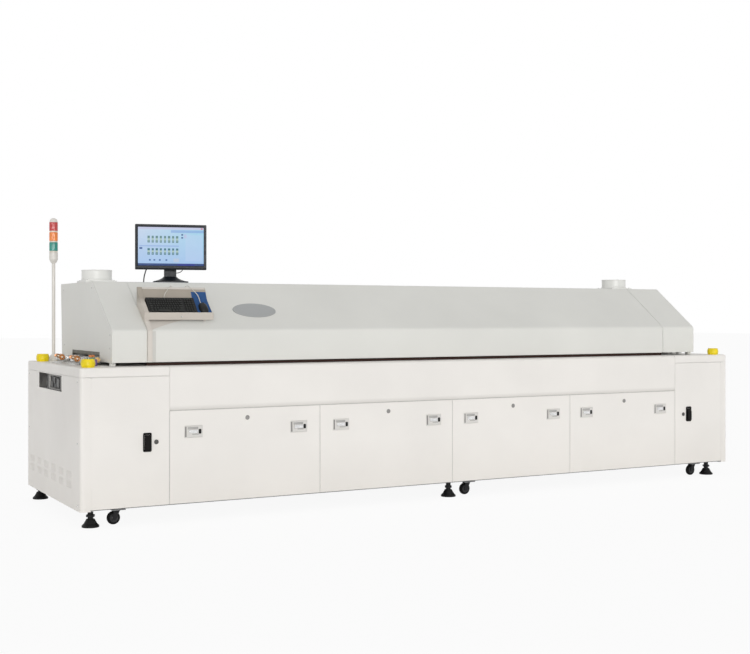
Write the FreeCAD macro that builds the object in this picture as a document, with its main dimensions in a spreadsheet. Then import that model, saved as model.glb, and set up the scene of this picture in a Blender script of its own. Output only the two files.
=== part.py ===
import FreeCAD
import Part
import Sketcher
import math
import os
from types import SimpleNamespace

# A conveyor reflow oven: a base cabinet on feet and casters, a lifting tunnel hood,
# a board conveyor through both, and an operator console on the hood.
# Millimetres; +X along the conveyor, -Y is the operator's side, +Z up,
# origin on the floor under the middle of the cabinet.

SIZES = {
    # Cabinet
    "overall_length": 5000,
    "overall_depth": 1320,
    "ground_clearance": 93,
    "cabinet_height": 822,
    "end_module_width": 529,
    "sheet_skin": 3,
    "seam_gap": 4,
    "corner_radius": 22,
    "corner_return": 60,
    "panel_depth": 22,
    "panel_air": 8,
    "sill_height": 9,
    "fascia_height": 260,
    "fascia_top_depth": 60,
    "fascia_bend_radius": 20,
    "rear_cover_depth": 30,
    "deck_thickness": 4,
    "deck_rim_height": 54,
    "deck_edge_radius": 10,
    # Frame
    "frame_tube": 50,
    "frame_side_gap": 4,
    # End panel openings
    "window_width": 577,
    "window_height": 96,
    "window_drop": 62,
    "vent_slot_width": 5,
    "vent_slot_height": 42,
    "vent_slot_pitch": 12,
    "vent_margin": 108,
    "vent_row_pitch": 57,
    "vent_rise": 113,
    "vent_shift": 50,
    # Hinges and latches of the panels and doors
    "hinge_rod_radius": 3,
    "running_clearance": 0.05,
    "hinge_lug_half": 6,
    "hinge_lug_width": 24,
    "hinge_lug_spread": 700,
    "hinge_notch_clearance": 3,
    "panel_hinge_inset": 12,
    "door_hinge_gap": 6,
    "door_hinge_offset": 4,
    "door_hinge_inset": 8,
    "door_pin_length": 10,
    "latch_spread": 690,
    "latch_drop": 127,
    "latch_plate_width": 115,
    "latch_plate_height": 73,
    "latch_plate_proud": 2,
    "latch_tongue_width": 58,
    "latch_tongue_height": 20,
    "latch_tongue_proud": 5,
    "latch_pocket_clearance": 2,
    "lock_radius": 13,
    "lock_proud": 3,
    "lock_drop": 57,
    "door_latch_inboard": 136,
    "door_latch_width": 50,
    "door_latch_height": 110,
    "door_latch_rise": 381,
    "door_lever_width": 34,
    "door_lever_height": 86,
    "door_lever_proud": 14,
    "door_lock_inboard": 82,
    # Hood
    "end_clear": 221,
    "left_hood_end_length": 211,
    "right_hood_end_length": 308,
    "hood_joint_gap": 3,
    "hood_gap": 20,
    "hood_front_setback": 127,
    "hood_front_height": 190,
    "hood_height": 490,
    "hood_slope_run": 411,
    "hood_rear_top_setback": 2,
    "hood_rear_foot_setback": 32,
    "hood_fold_radius": 30,
    "hood_foot_size": 30,
    "seal_width": 15,
    "seal_inset": 14,
    "seal_height": 18,
    "hood_hinge_setback": 15,
    "hood_hinge_rise": 30,
    "hood_knuckle_radius": 14,
    "hood_pin_radius": 10,
    "hood_knuckle_length": 40,
    "hood_knuckle_gap": 0.5,
    "hood_hinge_pitch": 1000,
    # Exhaust stacks
    "stack_radius": 95,
    "stack_wall": 3,
    "stack_height": 80,
    "stack_plate": 202,
    "stack_plate_thickness": 12,
    "stack_back": 165,
    "right_stack_inboard": 200,
    # Tunnel and conveyor
    "tunnel_offset": 50,
    "mouth_width": 643,
    "mouth_height": 78,
    "tunnel_height": 82,
    "trough_width": 760,
    "trough_end_margin": 31,
    "zone_gap": 10,
    "zone_lap": 15,
    "lower_zone_depth": 89,
    "upper_zone_depth": 180,
    "motor_radius": 60,
    "motor_height": 150,
    "roller_radius": 52,
    "roller_end_inset": 120,
    "roller_drop": 45,
    "roller_shaft_radius": 10,
    "belt_width": 520,
    "belt_thickness": 3,
    "belt_clearance": 0.3,
    "belt_slot_margin": 8,
    "hanger_thickness": 12,
    "hanger_half_width": 30,
    "hanger_gap": 10,
    "rail_width": 35,
    "rail_height": 35,
    "rail_rise": 15,
    "rail_end_inset": 110,
    "front_rail_lead": 19.5,
    "board_width": 325,
    "rail_foot_length": 15,
    "guide_radius": 10,
    "guide_end_inset": 140,
    "guide_block": 30,
    "guide_span": 700,
    "screw_radius": 7,
    "screw_end_inset": 190,
    "screw_overhang": 40,
    "screw_knob_radius": 16,
    "screw_knob_length": 18,
    # Signal tower
    "tower_end_inset": 160,
    "tower_rear_inset": 48,
    "pole_radius": 11.3,
    "pole_height": 650,
    "pole_foot_radius": 42,
    "pole_foot_height": 40,
    "lamp_radius": 28,
    "lamp_socket_height": 70,
    "lens_height": 57,
    "lens_ring": 10,
    "lens_core_radius": 12,
    "lamp_cap_height": 28,
    # Emergency stops
    "estop_end_inset": 60,
    "estop_front_inset": 56,
    "estop_guide_gap": 90,
    "guard_foot_radius": 36,
    "guard_belly_radius": 41,
    "guard_rim_radius": 36,
    "guard_height": 48,
    "guard_wall": 3,
    "guard_floor": 12,
    "button_stem_radius": 8,
    "button_stem_seat": 6,
    "button_head_radius": 22,
    "button_height": 44,
    # Feet and casters
    "foot_front_inset": 52,
    "left_foot_inset": 73,
    "right_foot_inset": 165,
    "foot_pad_radius": 50,
    "foot_pad_height": 9,
    "foot_bell_height": 46,
    "foot_stud_radius": 16,
    "caster_front_inset": 60,
    "left_caster_inset": 231,
    "right_caster_inset": 298,
    "middle_caster_offset": 156,
    "caster_wheel_radius": 39,
    "caster_wheel_width": 28,
    "caster_lift": 2,
    "caster_trail": 22,
    "caster_axle_radius": 5,
    "caster_fork_wall": 4,
    "caster_fork_gap": 2,
    "caster_stem_radius": 9,
    "caster_plate_size": 80,
    "caster_plate_thickness": 6,
    "caster_crown_thickness": 5,
    # Console
    "console_post_width": 28,
    "console_post_proud": 12,
    "tray_width": 410,
    "tray_depth": 145,
    "tray_tilt": 41,
    "tray_front_offset": 56,
    "tray_front_rise": 90,
    "tray_lip_above": 18,
    "tray_lip_below": 27,
    "tray_riser_run": 38,
    "tray_riser_rise": 78,
    "desk_setback": 12,
    "keyboard_width": 305,
    "keyboard_depth": 126,
    "keyboard_front": 12,
    "keyboard_back": 24,
    "mouse_width": 56,
    "mouse_length": 96,
    "mouse_height": 30,
    "desk_clearance": 0.2,
    "monitor_width": 460,
    "monitor_height": 294,
    "monitor_depth": 40,
    "monitor_bezel": 17,
    "monitor_screen_recess": 2,
    "monitor_rise": 90,
    "monitor_yaw": 14,
    "monitor_end_offset": 371,
    "monitor_back_offset": 248,
    "stand_width": 226,
    "stand_depth": 170,
    "stand_base_height": 14,
    "stand_neck_width": 79,
    "stand_neck_depth": 24,
    "stand_pivot_rise": 190,
    "stand_pivot_radius": 7,
    "stand_knuckle_radius": 14,
    "stand_knuckle_length": 40,
    "monitor_ear_thickness": 12,
    "monitor_ear_gap": 0.5,
    "monitor_neck_gap": 8,
    "cable_radius": 4,
    "cord_radius": 2.5,
}

PANEL_COUNT = 4
ZONE_COUNT = 10
HOOD_HINGE_COUNT = 4
VENT_ROWS = 2
VENT_GROUPS = 6
VENT_SLOTS = 9
LEFT = -1
RIGHT = 1

X_AXIS = FreeCAD.Vector(1, 0, 0)
Y_AXIS = FreeCAD.Vector(0, 1, 0)
Z_AXIS = FreeCAD.Vector(0, 0, 1)
TOUCH = 0.01


class Dim:
    """A length held both as a formula on the sheet and as its present value."""

    def __init__(self, formula, value):
        self.formula = formula
        self.value = value

    def _with(self, other, sign, value):
        return Dim("(%s %s %s)" % (self.formula, sign, other.formula), value)

    def __add__(self, other):
        other = as_dim(other)
        return self._with(other, "+", self.value + other.value)

    def __sub__(self, other):
        other = as_dim(other)
        return self._with(other, "-", self.value - other.value)

    def __mul__(self, other):
        other = as_dim(other)
        return self._with(other, "*", self.value * other.value)

    def __truediv__(self, other):
        other = as_dim(other)
        return self._with(other, "/", self.value / other.value)

    def __neg__(self):
        return Dim("(0 - %s)" % self.formula, -self.value)


def as_dim(number):
    if isinstance(number, Dim):
        return number
    text = "%.10g" % number
    return Dim("(%s)" % text if number < 0 else text, float(number))


def root(amount):
    return Dim("sqrt(%s)" % amount.formula, math.sqrt(amount.value))


def sine(angle):
    return Dim("sin(%s)" % angle.formula, math.sin(math.radians(angle.value)))


def cosine(angle):
    return Dim("cos(%s)" % angle.formula, math.cos(math.radians(angle.value)))


doc = FreeCAD.newDocument("ReflowOven")
sheet = doc.addObject("Spreadsheet::Sheet", "Sizes")
for row, (alias, number) in enumerate(SIZES.items(), start=1):
    sheet.set("A%d" % row, alias.replace("_", " "))
    sheet.set("B%d" % row, str(number))
    sheet.setAlias("B%d" % row, alias)
doc.recompute()
s = SimpleNamespace(**{alias: Dim("Sizes." + alias, float(number)) for alias, number in SIZES.items()})
nodes = []


# Building blocks

def bind(feature, **lengths):
    for name, length in lengths.items():
        feature.setExpression(name, as_dim(length).formula)


def place(feature, x, y, z, axis=Z_AXIS, angle=0):
    """Puts a feature at a point, turned about an axis; a Dim as angle stays bound to the sheet."""
    turn = as_dim(angle)
    feature.Placement = FreeCAD.Placement(FreeCAD.Vector(0, 0, 0), FreeCAD.Rotation(axis, turn.value))
    for letter, length in zip("xyz", (x, y, z)):
        feature.setExpression("Placement.Base." + letter, as_dim(length).formula)
    if isinstance(angle, Dim):
        feature.setExpression("Placement.Rotation.Angle", turn.formula + " * 1 deg")
    return feature


def slab(x0, x1, y0, y1, z0, z1):
    """A block between two limits on each axis."""
    x0, x1, y0, y1, z0, z1 = (as_dim(limit) for limit in (x0, x1, y0, y1, z0, z1))
    block = doc.addObject("Part::Box", "Block")
    bind(block, Length=x1 - x0, Width=y1 - y0, Height=z1 - z0)
    return place(block, x0, y0, z0)


def rod(axis, x, y, z, radius, length):
    """A round bar from a point along +X, +Y or +Z."""
    bar = doc.addObject("Part::Cylinder", "Bar")
    bind(bar, Radius=radius, Height=length)
    spin = {"x": (Y_AXIS, 90), "y": (X_AXIS, -90), "z": (Z_AXIS, 0)}[axis]
    return place(bar, x, y, z, *spin)


def outline_sketch(body, role, points):
    """A closed polygon on one of the body's own planes, every corner bound to the sheet."""
    sketch = body.newObject("Sketcher::SketchObject", "Outline")
    plane = next(item for item in body.Origin.OriginFeatures if item.Role == role)
    sketch.AttachmentSupport = [(plane, "")]
    sketch.MapMode = "FlatFace"
    points = [(as_dim(u), as_dim(v)) for u, v in points]
    corners = [FreeCAD.Vector(u.value, v.value, 0) for u, v in points]
    count = len(corners)
    for i in range(count):
        sketch.addGeometry(Part.LineSegment(corners[i], corners[(i + 1) % count]))
    for i in range(count):
        sketch.addConstraint(Sketcher.Constraint("Coincident", i, 2, (i + 1) % count, 1))
    for i, (u, v) in enumerate(points):
        for kind, length in (("DistanceX", u), ("DistanceY", v)):
            index = sketch.addConstraint(Sketcher.Constraint(kind, -1, 1, i, 1, length.value))
            sketch.setExpression("Constraints[%d]" % index, length.formula)
    return sketch


def pad(role, points, length, x=0, y=0, z=0, rounds=(), axis=Z_AXIS, angle=0):
    """A padded outline; rounds holds (radius, test) pairs, each rounding the edges that pass."""
    body = doc.addObject("PartDesign::Body", "Body")
    sketch = outline_sketch(body, role, points)
    tip = body.newObject("PartDesign::Pad", "Pad")
    tip.Profile = sketch
    bind(tip, Length=length)
    for radius, wanted in rounds:
        doc.recompute()
        names = ["Edge%d" % n for n, edge in enumerate(tip.Shape.Edges, start=1) if wanted(edge)]
        fillet = body.newObject("PartDesign::Fillet", "Round")
        fillet.Base = (tip, names)
        bind(fillet, Radius=radius)
        tip = fillet
    return place(body, x, y, z, axis, angle)


def turned(points, x, y, z, axis=Z_AXIS, angle=0):
    """A body of revolution about its own upright axis, from (radius, height) corners."""
    body = doc.addObject("PartDesign::Body", "Turned")
    sketch = outline_sketch(body, "XZ_Plane", points)
    spin = body.newObject("PartDesign::Revolution", "Spin")
    spin.Profile = sketch
    spin.ReferenceAxis = (sketch, ["V_Axis"])
    spin.Angle = 360
    return place(body, x, y, z, axis, angle)


def join(*pieces):
    fused = doc.addObject("Part::MultiFuse", "Joined")
    fused.Shapes = list(pieces)
    fused.Refine = True
    return fused


def group(*pieces):
    held = doc.addObject("Part::Compound", "Group")
    held.Links = list(pieces)
    return held


def cut(base, *tools):
    result = doc.addObject("Part::Cut", "Trimmed")
    result.Base = base
    result.Tool = tools[0] if len(tools) == 1 else join(*tools)
    return result


def node(label, feature):
    feature.Label = label
    nodes.append(feature)


def sided(side, inner, outer):
    """Limits along X of a piece that lies between two distances from the middle."""
    return (inner, outer) if side == RIGHT else (-outer, -inner)


def near(a, b):
    return abs(a - b) < TOUCH


def along(edge, direction):
    if len(edge.Vertexes) < 2:
        return False
    span = edge.Vertexes[1].Point - edge.Vertexes[0].Point
    return near(abs(span.dot(direction)), span.Length) and near(edge.Length, span.Length)


def upright_at(x):
    """Test for an upright edge at a given X, in the body's own frame."""
    return lambda edge: along(edge, Z_AXIS) and near(edge.CenterOfMass.x, x.value)


def lengthwise_at(y, z):
    """Test for an edge along X at a given Y and Z, in the body's own frame."""
    return lambda edge: (
        along(edge, X_AXIS) and near(edge.CenterOfMass.y, y.value) and near(edge.CenterOfMass.z, z.value)
    )


# Places that several pieces share

skin = s.sheet_skin
seam = s.seam_gap
half_length = s.overall_length / 2
rear = s.overall_depth / 2
front = -rear
base_bottom = s.ground_clearance
deck_top = base_bottom + s.cabinet_height
frame_top = deck_top - s.deck_thickness
rim_bottom = deck_top - s.deck_rim_height
cover_top = rim_bottom - seam
sill = base_bottom + s.sill_height
seam_x = half_length - s.end_module_width
panel_pitch = seam_x * 2 / PANEL_COUNT
panel_top = deck_top - s.fascia_height - seam
frame_front = front + s.panel_depth + s.panel_air
frame_rear = rear - s.rear_cover_depth
frame_end = half_length - skin - s.frame_side_gap
return_x = half_length - s.corner_return
door_inner = seam_x + seam / 2
door_outer = return_x - s.door_hinge_gap
door_hinge_x = door_outer - s.door_hinge_offset
door_hinge_y = front + s.door_hinge_inset
panel_hinge_y = front + s.panel_hinge_inset
panel_hinge_z = sill + s.panel_hinge_inset

tunnel_y = s.tunnel_offset
hood_end_x = half_length - s.end_clear
main_hood_left = -hood_end_x + s.left_hood_end_length + s.hood_joint_gap
main_hood_right = hood_end_x - s.right_hood_end_length - s.hood_joint_gap
hood_bottom = deck_top + s.hood_gap
hood_front = front + s.hood_front_setback
hood_top = hood_bottom + s.hood_height
fold_z = hood_bottom + s.hood_front_height
slope_rise = s.hood_height - s.hood_front_height
slope_top_y = hood_front + s.hood_slope_run
hood_rear_top = rear - s.hood_rear_top_setback
hood_rear_foot = rear - s.hood_rear_foot_setback
liner_bottom = deck_top + s.tunnel_height
liner_top = liner_bottom + skin
hood_hinge_y = rear - s.hood_hinge_setback
hood_hinge_z = deck_top + s.hood_hinge_rise

belt_front = tunnel_y - s.belt_width / 2
belt_rear = tunnel_y + s.belt_width / 2
roller_x = half_length - s.roller_end_inset
roller_z = deck_top - s.roller_drop
belt_inner = s.roller_radius + s.belt_clearance
belt_outer = belt_inner + s.belt_thickness
belt_slot_inner = roller_x - belt_outer - s.belt_slot_margin
rail_bottom = deck_top + s.rail_rise
rail_top = rail_bottom + s.rail_height
rail_axis_z = rail_bottom + s.rail_height / 2
rail_end = half_length - s.rail_end_inset
front_rail_front = belt_front - s.front_rail_lead
rear_rail_front = front_rail_front + s.rail_width + s.board_width
guide_x = half_length - s.guide_end_inset
guide_front = tunnel_y - s.guide_span / 2
guide_rear = tunnel_y + s.guide_span / 2
screw_x = -half_length + s.screw_end_inset


def slope_z(y):
    """Height of the hood's sloping face above a given Y."""
    return fold_z + (y - hood_front) * slope_rise / s.hood_slope_run


def hinge_xs():
    """Left edges of the hood's hinges, evenly spaced about the middle."""
    first = s.hood_hinge_pitch * (HOOD_HINGE_COUNT - 1) / 2
    return [s.hood_hinge_pitch * i - first for i in range(HOOD_HINGE_COUNT)]


def panel_span(index):
    """Limits along X of one lower front panel."""
    x0 = panel_pitch * index - seam_x + seam / 2
    return x0, x0 + panel_pitch - seam


def lug_xs(index):
    """Middles of the two hinge lugs behind one lower panel."""
    x0, x1 = panel_span(index)
    middle = (x0 + x1) / 2
    return middle - s.hinge_lug_spread / 2, middle + s.hinge_lug_spread / 2


def caster_xs():
    return (
        s.left_caster_inset - half_length,
        s.middle_caster_offset + 0,
        half_length - s.right_caster_inset,
    )


def foot_xs():
    return s.left_foot_inset - half_length, as_dim(0), half_length - s.right_foot_inset


def sided_ys(inset):
    """The two places across the depth that lie one inset in from the front and from the rear."""
    return front + inset, rear - inset


# Cabinet

def panel_hinge_lug(x):
    reach = s.hinge_lug_half
    blank = slab(
        x - s.hinge_lug_width / 2, x + s.hinge_lug_width / 2,
        panel_hinge_y - reach, frame_front, panel_hinge_z - reach, panel_hinge_z + reach,
    )
    bore = rod(
        "x", x - s.hinge_lug_width, panel_hinge_y, panel_hinge_z,
        s.hinge_rod_radius + s.running_clearance, s.hinge_lug_width * 2,
    )
    return cut(blank, bore)


def door_hinge_lugs(side):
    """The two drilled lugs, above and below a door, that its pivot pins turn in."""
    reach = s.hinge_rod_radius * 1.5
    x0, x1 = sided(side, door_hinge_x - s.hinge_lug_half, frame_end - s.frame_tube / 2)
    hinge_x = door_hinge_x if side == RIGHT else -door_hinge_x
    lugs = []
    for z0, z1 in ((base_bottom, sill - skin), (cover_top + skin, cover_top + s.door_pin_length)):
        blank = slab(x0, x1, door_hinge_y - reach, frame_front, z0, z1)
        bore = rod(
            "z", hinge_x, door_hinge_y, z0 - skin,
            s.hinge_rod_radius + s.running_clearance, z1 - z0 + skin * 2,
        )
        lugs.append(cut(blank, bore))
    return lugs


def caster_plate(x, y):
    half = s.caster_plate_size / 2
    z0 = base_bottom - s.caster_plate_thickness
    blank = slab(x - half, x + half, y - half, y + half, z0, base_bottom)
    bore = rod(
        "z", x, y, z0 - skin,
        s.caster_stem_radius + s.running_clearance, s.caster_plate_thickness + skin,
    )
    return cut(blank, bore)


def base_frame():
    """Straight frame members butted end to face, the floor sheet, hinge lugs and caster plates."""
    tube = s.frame_tube
    floor_top = base_bottom + skin
    low_top = base_bottom + tube
    high_bottom = frame_top - tube
    beam_rows = ((frame_front, frame_front + tube), (frame_rear - tube, frame_rear))
    cross = (frame_front + tube, frame_rear - tube)
    members = [slab(-frame_end, frame_end, *cross, base_bottom, floor_top)]
    for row in beam_rows:
        members.append(slab(-frame_end, frame_end, *row, base_bottom, low_top))
        members.append(slab(-frame_end, frame_end, *row, high_bottom, frame_top))
    seams = [panel_pitch * i - seam_x for i in range(PANEL_COUNT + 1)]
    stations = [tube / 2 - frame_end] + seams + [frame_end - tube / 2]
    for x in stations:
        x0, x1 = x - tube / 2, x + tube / 2
        members += [slab(x0, x1, *row, low_top, high_bottom) for row in beam_rows]
        members.append(slab(x0, x1, *cross, floor_top, low_top))
    for x in (stations[0], stations[1], stations[-2], stations[-1]):
        members.append(slab(x - tube / 2, x + tube / 2, *cross, high_bottom, frame_top))
    for index in range(PANEL_COUNT):
        members += [panel_hinge_lug(x) for x in lug_xs(index)]
    members += door_hinge_lugs(LEFT) + door_hinge_lugs(RIGHT)
    members += [caster_plate(x, y) for y in sided_ys(s.caster_front_inset) for x in caster_xs()]
    node("base_frame", group(*members))


def end_panel(label, side):
    """A wrapped end sheet with rounded corners, a belt window and two rows of cooling slots."""
    height = cover_top - base_bottom
    x0, x1 = sided(side, return_x, half_length)
    outer_x = half_length if side == RIGHT else -half_length
    shell = pad(
        "XY_Plane", ((x0, front), (x1, front), (x1, rear), (x0, rear)), height,
        z=base_bottom, rounds=((s.corner_radius, upright_at(outer_x)),),
    )
    x2, x3 = sided(side, return_x - skin, half_length - skin)
    inner_x = x3 if side == RIGHT else x2
    hollow = pad(
        "XY_Plane", ((x2, front + skin), (x3, front + skin), (x3, rear - skin), (x2, rear - skin)),
        height + skin * 2, z=base_bottom - skin,
        rounds=((s.corner_radius - skin, upright_at(inner_x)),),
    )
    wall_x = sided(side, half_length - skin * 2, half_length + skin)
    window_top = deck_top - s.window_drop
    window = slab(
        *wall_x, tunnel_y - s.window_width / 2, tunnel_y + s.window_width / 2,
        window_top - s.window_height, window_top,
    )
    spacers = []
    spacer_x = sided(side, frame_end, half_length - skin / 2)
    for y0, y1 in ((frame_front, frame_front + s.frame_tube), (frame_rear - s.frame_tube, frame_rear)):
        spacers.append(slab(*spacer_x, y0, y1, base_bottom, cover_top))
    sheet_body = cut(join(cut(shell, hollow), *spacers), window)
    node(label, cut(sheet_body, group(*vent_slots(wall_x))))


def vent_slots(wall_x):
    slots = []
    group_pitch = (s.overall_depth - s.vent_margin * 2) / VENT_GROUPS
    for vent_row in range(VENT_ROWS):
        z0 = base_bottom + s.vent_rise + s.vent_row_pitch * vent_row
        for vent_group in range(VENT_GROUPS):
            group_y = group_pitch * (vent_group - (VENT_GROUPS - 1) / 2) + s.vent_shift
            for slot in range(VENT_SLOTS):
                y0 = group_y + s.vent_slot_pitch * (slot - (VENT_SLOTS - 1) / 2) - s.vent_slot_width / 2
                slots.append(slab(*wall_x, y0, y0 + s.vent_slot_width, z0, z0 + s.vent_slot_height))
    return slots


def front_fascia():
    z0 = deck_top - s.fascia_height
    top_inner = deck_top - skin
    y_inner = front + skin
    lip_end = front + s.fascia_top_depth
    section = (
        (front, z0), (front, deck_top), (lip_end, deck_top), (lip_end, top_inner),
        (y_inner, top_inner), (y_inner, z0 + skin), (frame_front, z0 + skin), (frame_front, z0),
    )
    bends = (
        (s.fascia_bend_radius, lengthwise_at(front, deck_top)),
        (s.fascia_bend_radius - skin, lengthwise_at(y_inner, top_inner)),
    )
    node("front_fascia", pad("YZ_Plane", section, seam_x * 2 - seam, x=seam / 2 - seam_x, rounds=bends))


def pan(x0, x1, y0, y1, z0, z1, open_back):
    """A shallow folded tray, open towards +Y or towards -Y."""
    y2, y3 = (y0 + skin, y1 + skin) if open_back else (y0 - skin, y1 - skin)
    return cut(
        slab(x0, x1, y0, y1, z0, z1),
        slab(x0 + skin, x1 - skin, y2, y3, z0 + skin, z1 - skin),
    )


def rear_covers():
    covers = []
    for index in range(PANEL_COUNT):
        x0, x1 = panel_span(index)
        covers.append(pan(x0, x1, frame_rear, rear, sill, frame_top - seam, open_back=False))
    for side in (LEFT, RIGHT):
        x0, x1 = sided(side, door_inner, return_x - seam)
        covers.append(pan(x0, x1, frame_rear, rear, sill, cover_top, open_back=False))
    node("rear_covers", group(*covers))


def deck_plate():
    sheet_part = slab(
        seam / 2 - seam_x, seam_x - seam / 2, front + s.fascia_top_depth, rear, frame_top, deck_top,
    )
    trough_end = seam_x - s.trough_end_margin
    trough = slab(
        -trough_end, trough_end, tunnel_y - s.trough_width / 2, tunnel_y + s.trough_width / 2,
        frame_top - skin, deck_top + skin,
    )
    knuckles = []
    for x in hinge_xs():
        x1 = x + s.hood_knuckle_length
        neck_half = s.hood_pin_radius
        neck = slab(
            x, x1, hood_hinge_y - neck_half, hood_hinge_y + neck_half,
            deck_top - s.deck_thickness / 2, hood_hinge_z,
        )
        barrel = rod("x", x, hood_hinge_y, hood_hinge_z, s.hood_knuckle_radius, s.hood_knuckle_length)
        knuckles.append(cut(join(neck, barrel), hood_pin_bore(x)))
    node("deck_plate", join(cut(sheet_part, trough), *knuckles))


def hood_pin_bore(x):
    length = s.hood_knuckle_length
    radius = s.hood_pin_radius + s.running_clearance
    return rod("x", x - length, hood_hinge_y, hood_hinge_z, radius, length * 3)


def end_deck_cover(side):
    """The cap of an end module: a top sheet with a rim on three sides and the belt's slot."""
    x0, x1 = sided(side, door_inner, half_length)
    outer_x = half_length if side == RIGHT else -half_length

    def top_rim(edge):
        return near(edge.BoundBox.ZMin, s.deck_rim_height.value) and not (
            along(edge, Y_AXIS) and near(abs(edge.CenterOfMass.x), door_inner.value)
        )

    cap = pad(
        "XY_Plane", ((x0, front), (x1, front), (x1, rear), (x0, rear)), s.deck_rim_height, z=rim_bottom,
        rounds=((s.corner_radius, upright_at(outer_x)), (s.deck_edge_radius, top_rim)),
    )
    x2, x3 = sided(side, door_inner - skin, half_length - skin)
    inner_x = x3 if side == RIGHT else x2
    hollow = pad(
        "XY_Plane", ((x2, front + skin), (x3, front + skin), (x3, rear - skin), (x2, rear - skin)),
        s.deck_rim_height - s.deck_thickness + skin, z=rim_bottom - skin,
        rounds=((s.corner_radius - skin, upright_at(inner_x)),),
    )
    slot_x = sided(side, belt_slot_inner, roller_x * 2 - belt_slot_inner)
    slot = slab(
        *slot_x, belt_front - s.belt_slot_margin, belt_rear + s.belt_slot_margin,
        frame_top - skin, deck_top + skin,
    )
    hangers = []
    shaft_x = roller_x if side == RIGHT else -roller_x
    hang_half = s.hanger_half_width
    for y0 in (belt_front - s.hanger_gap - s.hanger_thickness, belt_rear + s.hanger_gap):
        plate = slab(
            shaft_x - hang_half, shaft_x + hang_half, y0, y0 + s.hanger_thickness,
            roller_z - hang_half, deck_top - s.deck_thickness / 2,
        )
        bore = rod(
            "y", shaft_x, y0 - skin, roller_z,
            s.roller_shaft_radius + s.running_clearance, s.hanger_thickness + skin * 2,
        )
        hangers.append(cut(plate, bore))
    return join(cut(cut(cap, hollow), slot), *hangers)


# Front panels, doors, latches and locks

def lower_panel(index):
    """A drop-down front panel: folded pan, hinge rod, two latch plates and a lock barrel."""
    x0, x1 = panel_span(index)
    y1 = front + s.panel_depth
    tray = pan(x0, x1, front, y1, sill, panel_top, open_back=True)
    notch_half = s.hinge_lug_width / 2 + s.hinge_notch_clearance
    notches = [
        slab(x - notch_half, x + notch_half, front + skin, y1 + skin, sill - skin, sill + skin)
        for x in lug_xs(index)
    ]
    hinge = rod("x", x0 + skin / 2, panel_hinge_y, panel_hinge_z, s.hinge_rod_radius, x1 - x0 - skin)
    middle = (x0 + x1) / 2
    latch_z = panel_top - s.latch_drop
    half_w, half_h = s.latch_plate_width / 2, s.latch_plate_height / 2
    plates = []
    for x in latch_xs(index):
        plates.append(slab(
            x - half_w, x + half_w, front - s.latch_plate_proud, front + skin / 2,
            latch_z - half_h, latch_z + half_h,
        ))
    lock = rod(
        "y", middle, front - s.lock_proud, panel_top - s.lock_drop,
        s.lock_radius, s.lock_proud + skin / 2,
    )
    body = join(cut(tray, *notches), hinge, lock, *plates)
    pockets = [latch_pocket(x) for x in latch_xs(index)]
    node("lower_panel_%d" % (index + 1), cut(body, *pockets))
    node("lower_panel_%d_latches" % (index + 1), group(*(latch_tongue(x) for x in latch_xs(index))))


def latch_xs(index):
    x0, x1 = panel_span(index)
    middle = (x0 + x1) / 2
    return middle - s.latch_spread / 2, middle + s.latch_spread / 2


def latch_tongue(x):
    """A latch tongue, just clear of the pocket's back."""
    half_w = s.latch_tongue_width / 2
    half_h = s.latch_tongue_height / 2
    latch_z = panel_top - s.latch_drop
    return slab(
        x - half_w, x + half_w, front - s.latch_tongue_proud, front - s.desk_clearance,
        latch_z - half_h, latch_z + half_h,
    )


def latch_pocket(x):
    """The pocket through a latch plate that leaves room all round the tongue."""
    half_w = s.latch_tongue_width / 2 + s.latch_pocket_clearance
    half_h = s.latch_tongue_height / 2 + s.latch_pocket_clearance
    latch_z = panel_top - s.latch_drop
    return slab(
        x - half_w, x + half_w, front - s.latch_tongue_proud, front,
        latch_z - half_h, latch_z + half_h,
    )


def end_door(label, side):
    """A full-height end door on two pivot pins, with its latch plate and lock barrel."""
    x0, x1 = sided(side, door_inner, door_outer)
    tray = pan(x0, x1, front, front + s.panel_depth, sill, cover_top, open_back=True)
    hinge_x = door_hinge_x if side == RIGHT else -door_hinge_x
    pins = [
        rod("z", hinge_x, door_hinge_y, z0, s.hinge_rod_radius, s.door_pin_length)
        for z0 in (sill + skin / 2 - s.door_pin_length, cover_top - skin / 2)
    ]
    latch_x = seam_x + s.door_latch_inboard
    lock_x = seam_x + s.door_lock_inboard
    if side == LEFT:
        latch_x, lock_x = -latch_x, -lock_x
    half_w, half_h = s.door_latch_width / 2, s.door_latch_height / 2
    latch_z = base_bottom + s.door_latch_rise
    plate = slab(
        latch_x - half_w, latch_x + half_w, front - s.latch_plate_proud, front + skin / 2,
        latch_z - half_h, latch_z + half_h,
    )
    lock = rod("y", lock_x, front - s.lock_proud, latch_z, s.lock_radius, s.lock_proud + skin / 2)
    node(label, join(tray, plate, lock, *pins))
    lever_w, lever_h = s.door_lever_width / 2, s.door_lever_height / 2
    lever_back = front - s.latch_plate_proud - s.desk_clearance
    tip = lever_back - s.door_lever_proud
    grip = (
        (lever_back, latch_z - lever_h), (lever_back, latch_z + lever_h),
        (tip, latch_z + lever_h / 2), (tip, latch_z - lever_h),
    )
    node(label + "_lever", pad("YZ_Plane", grip, s.door_lever_width, x=latch_x - lever_w))


# Hood

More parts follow.
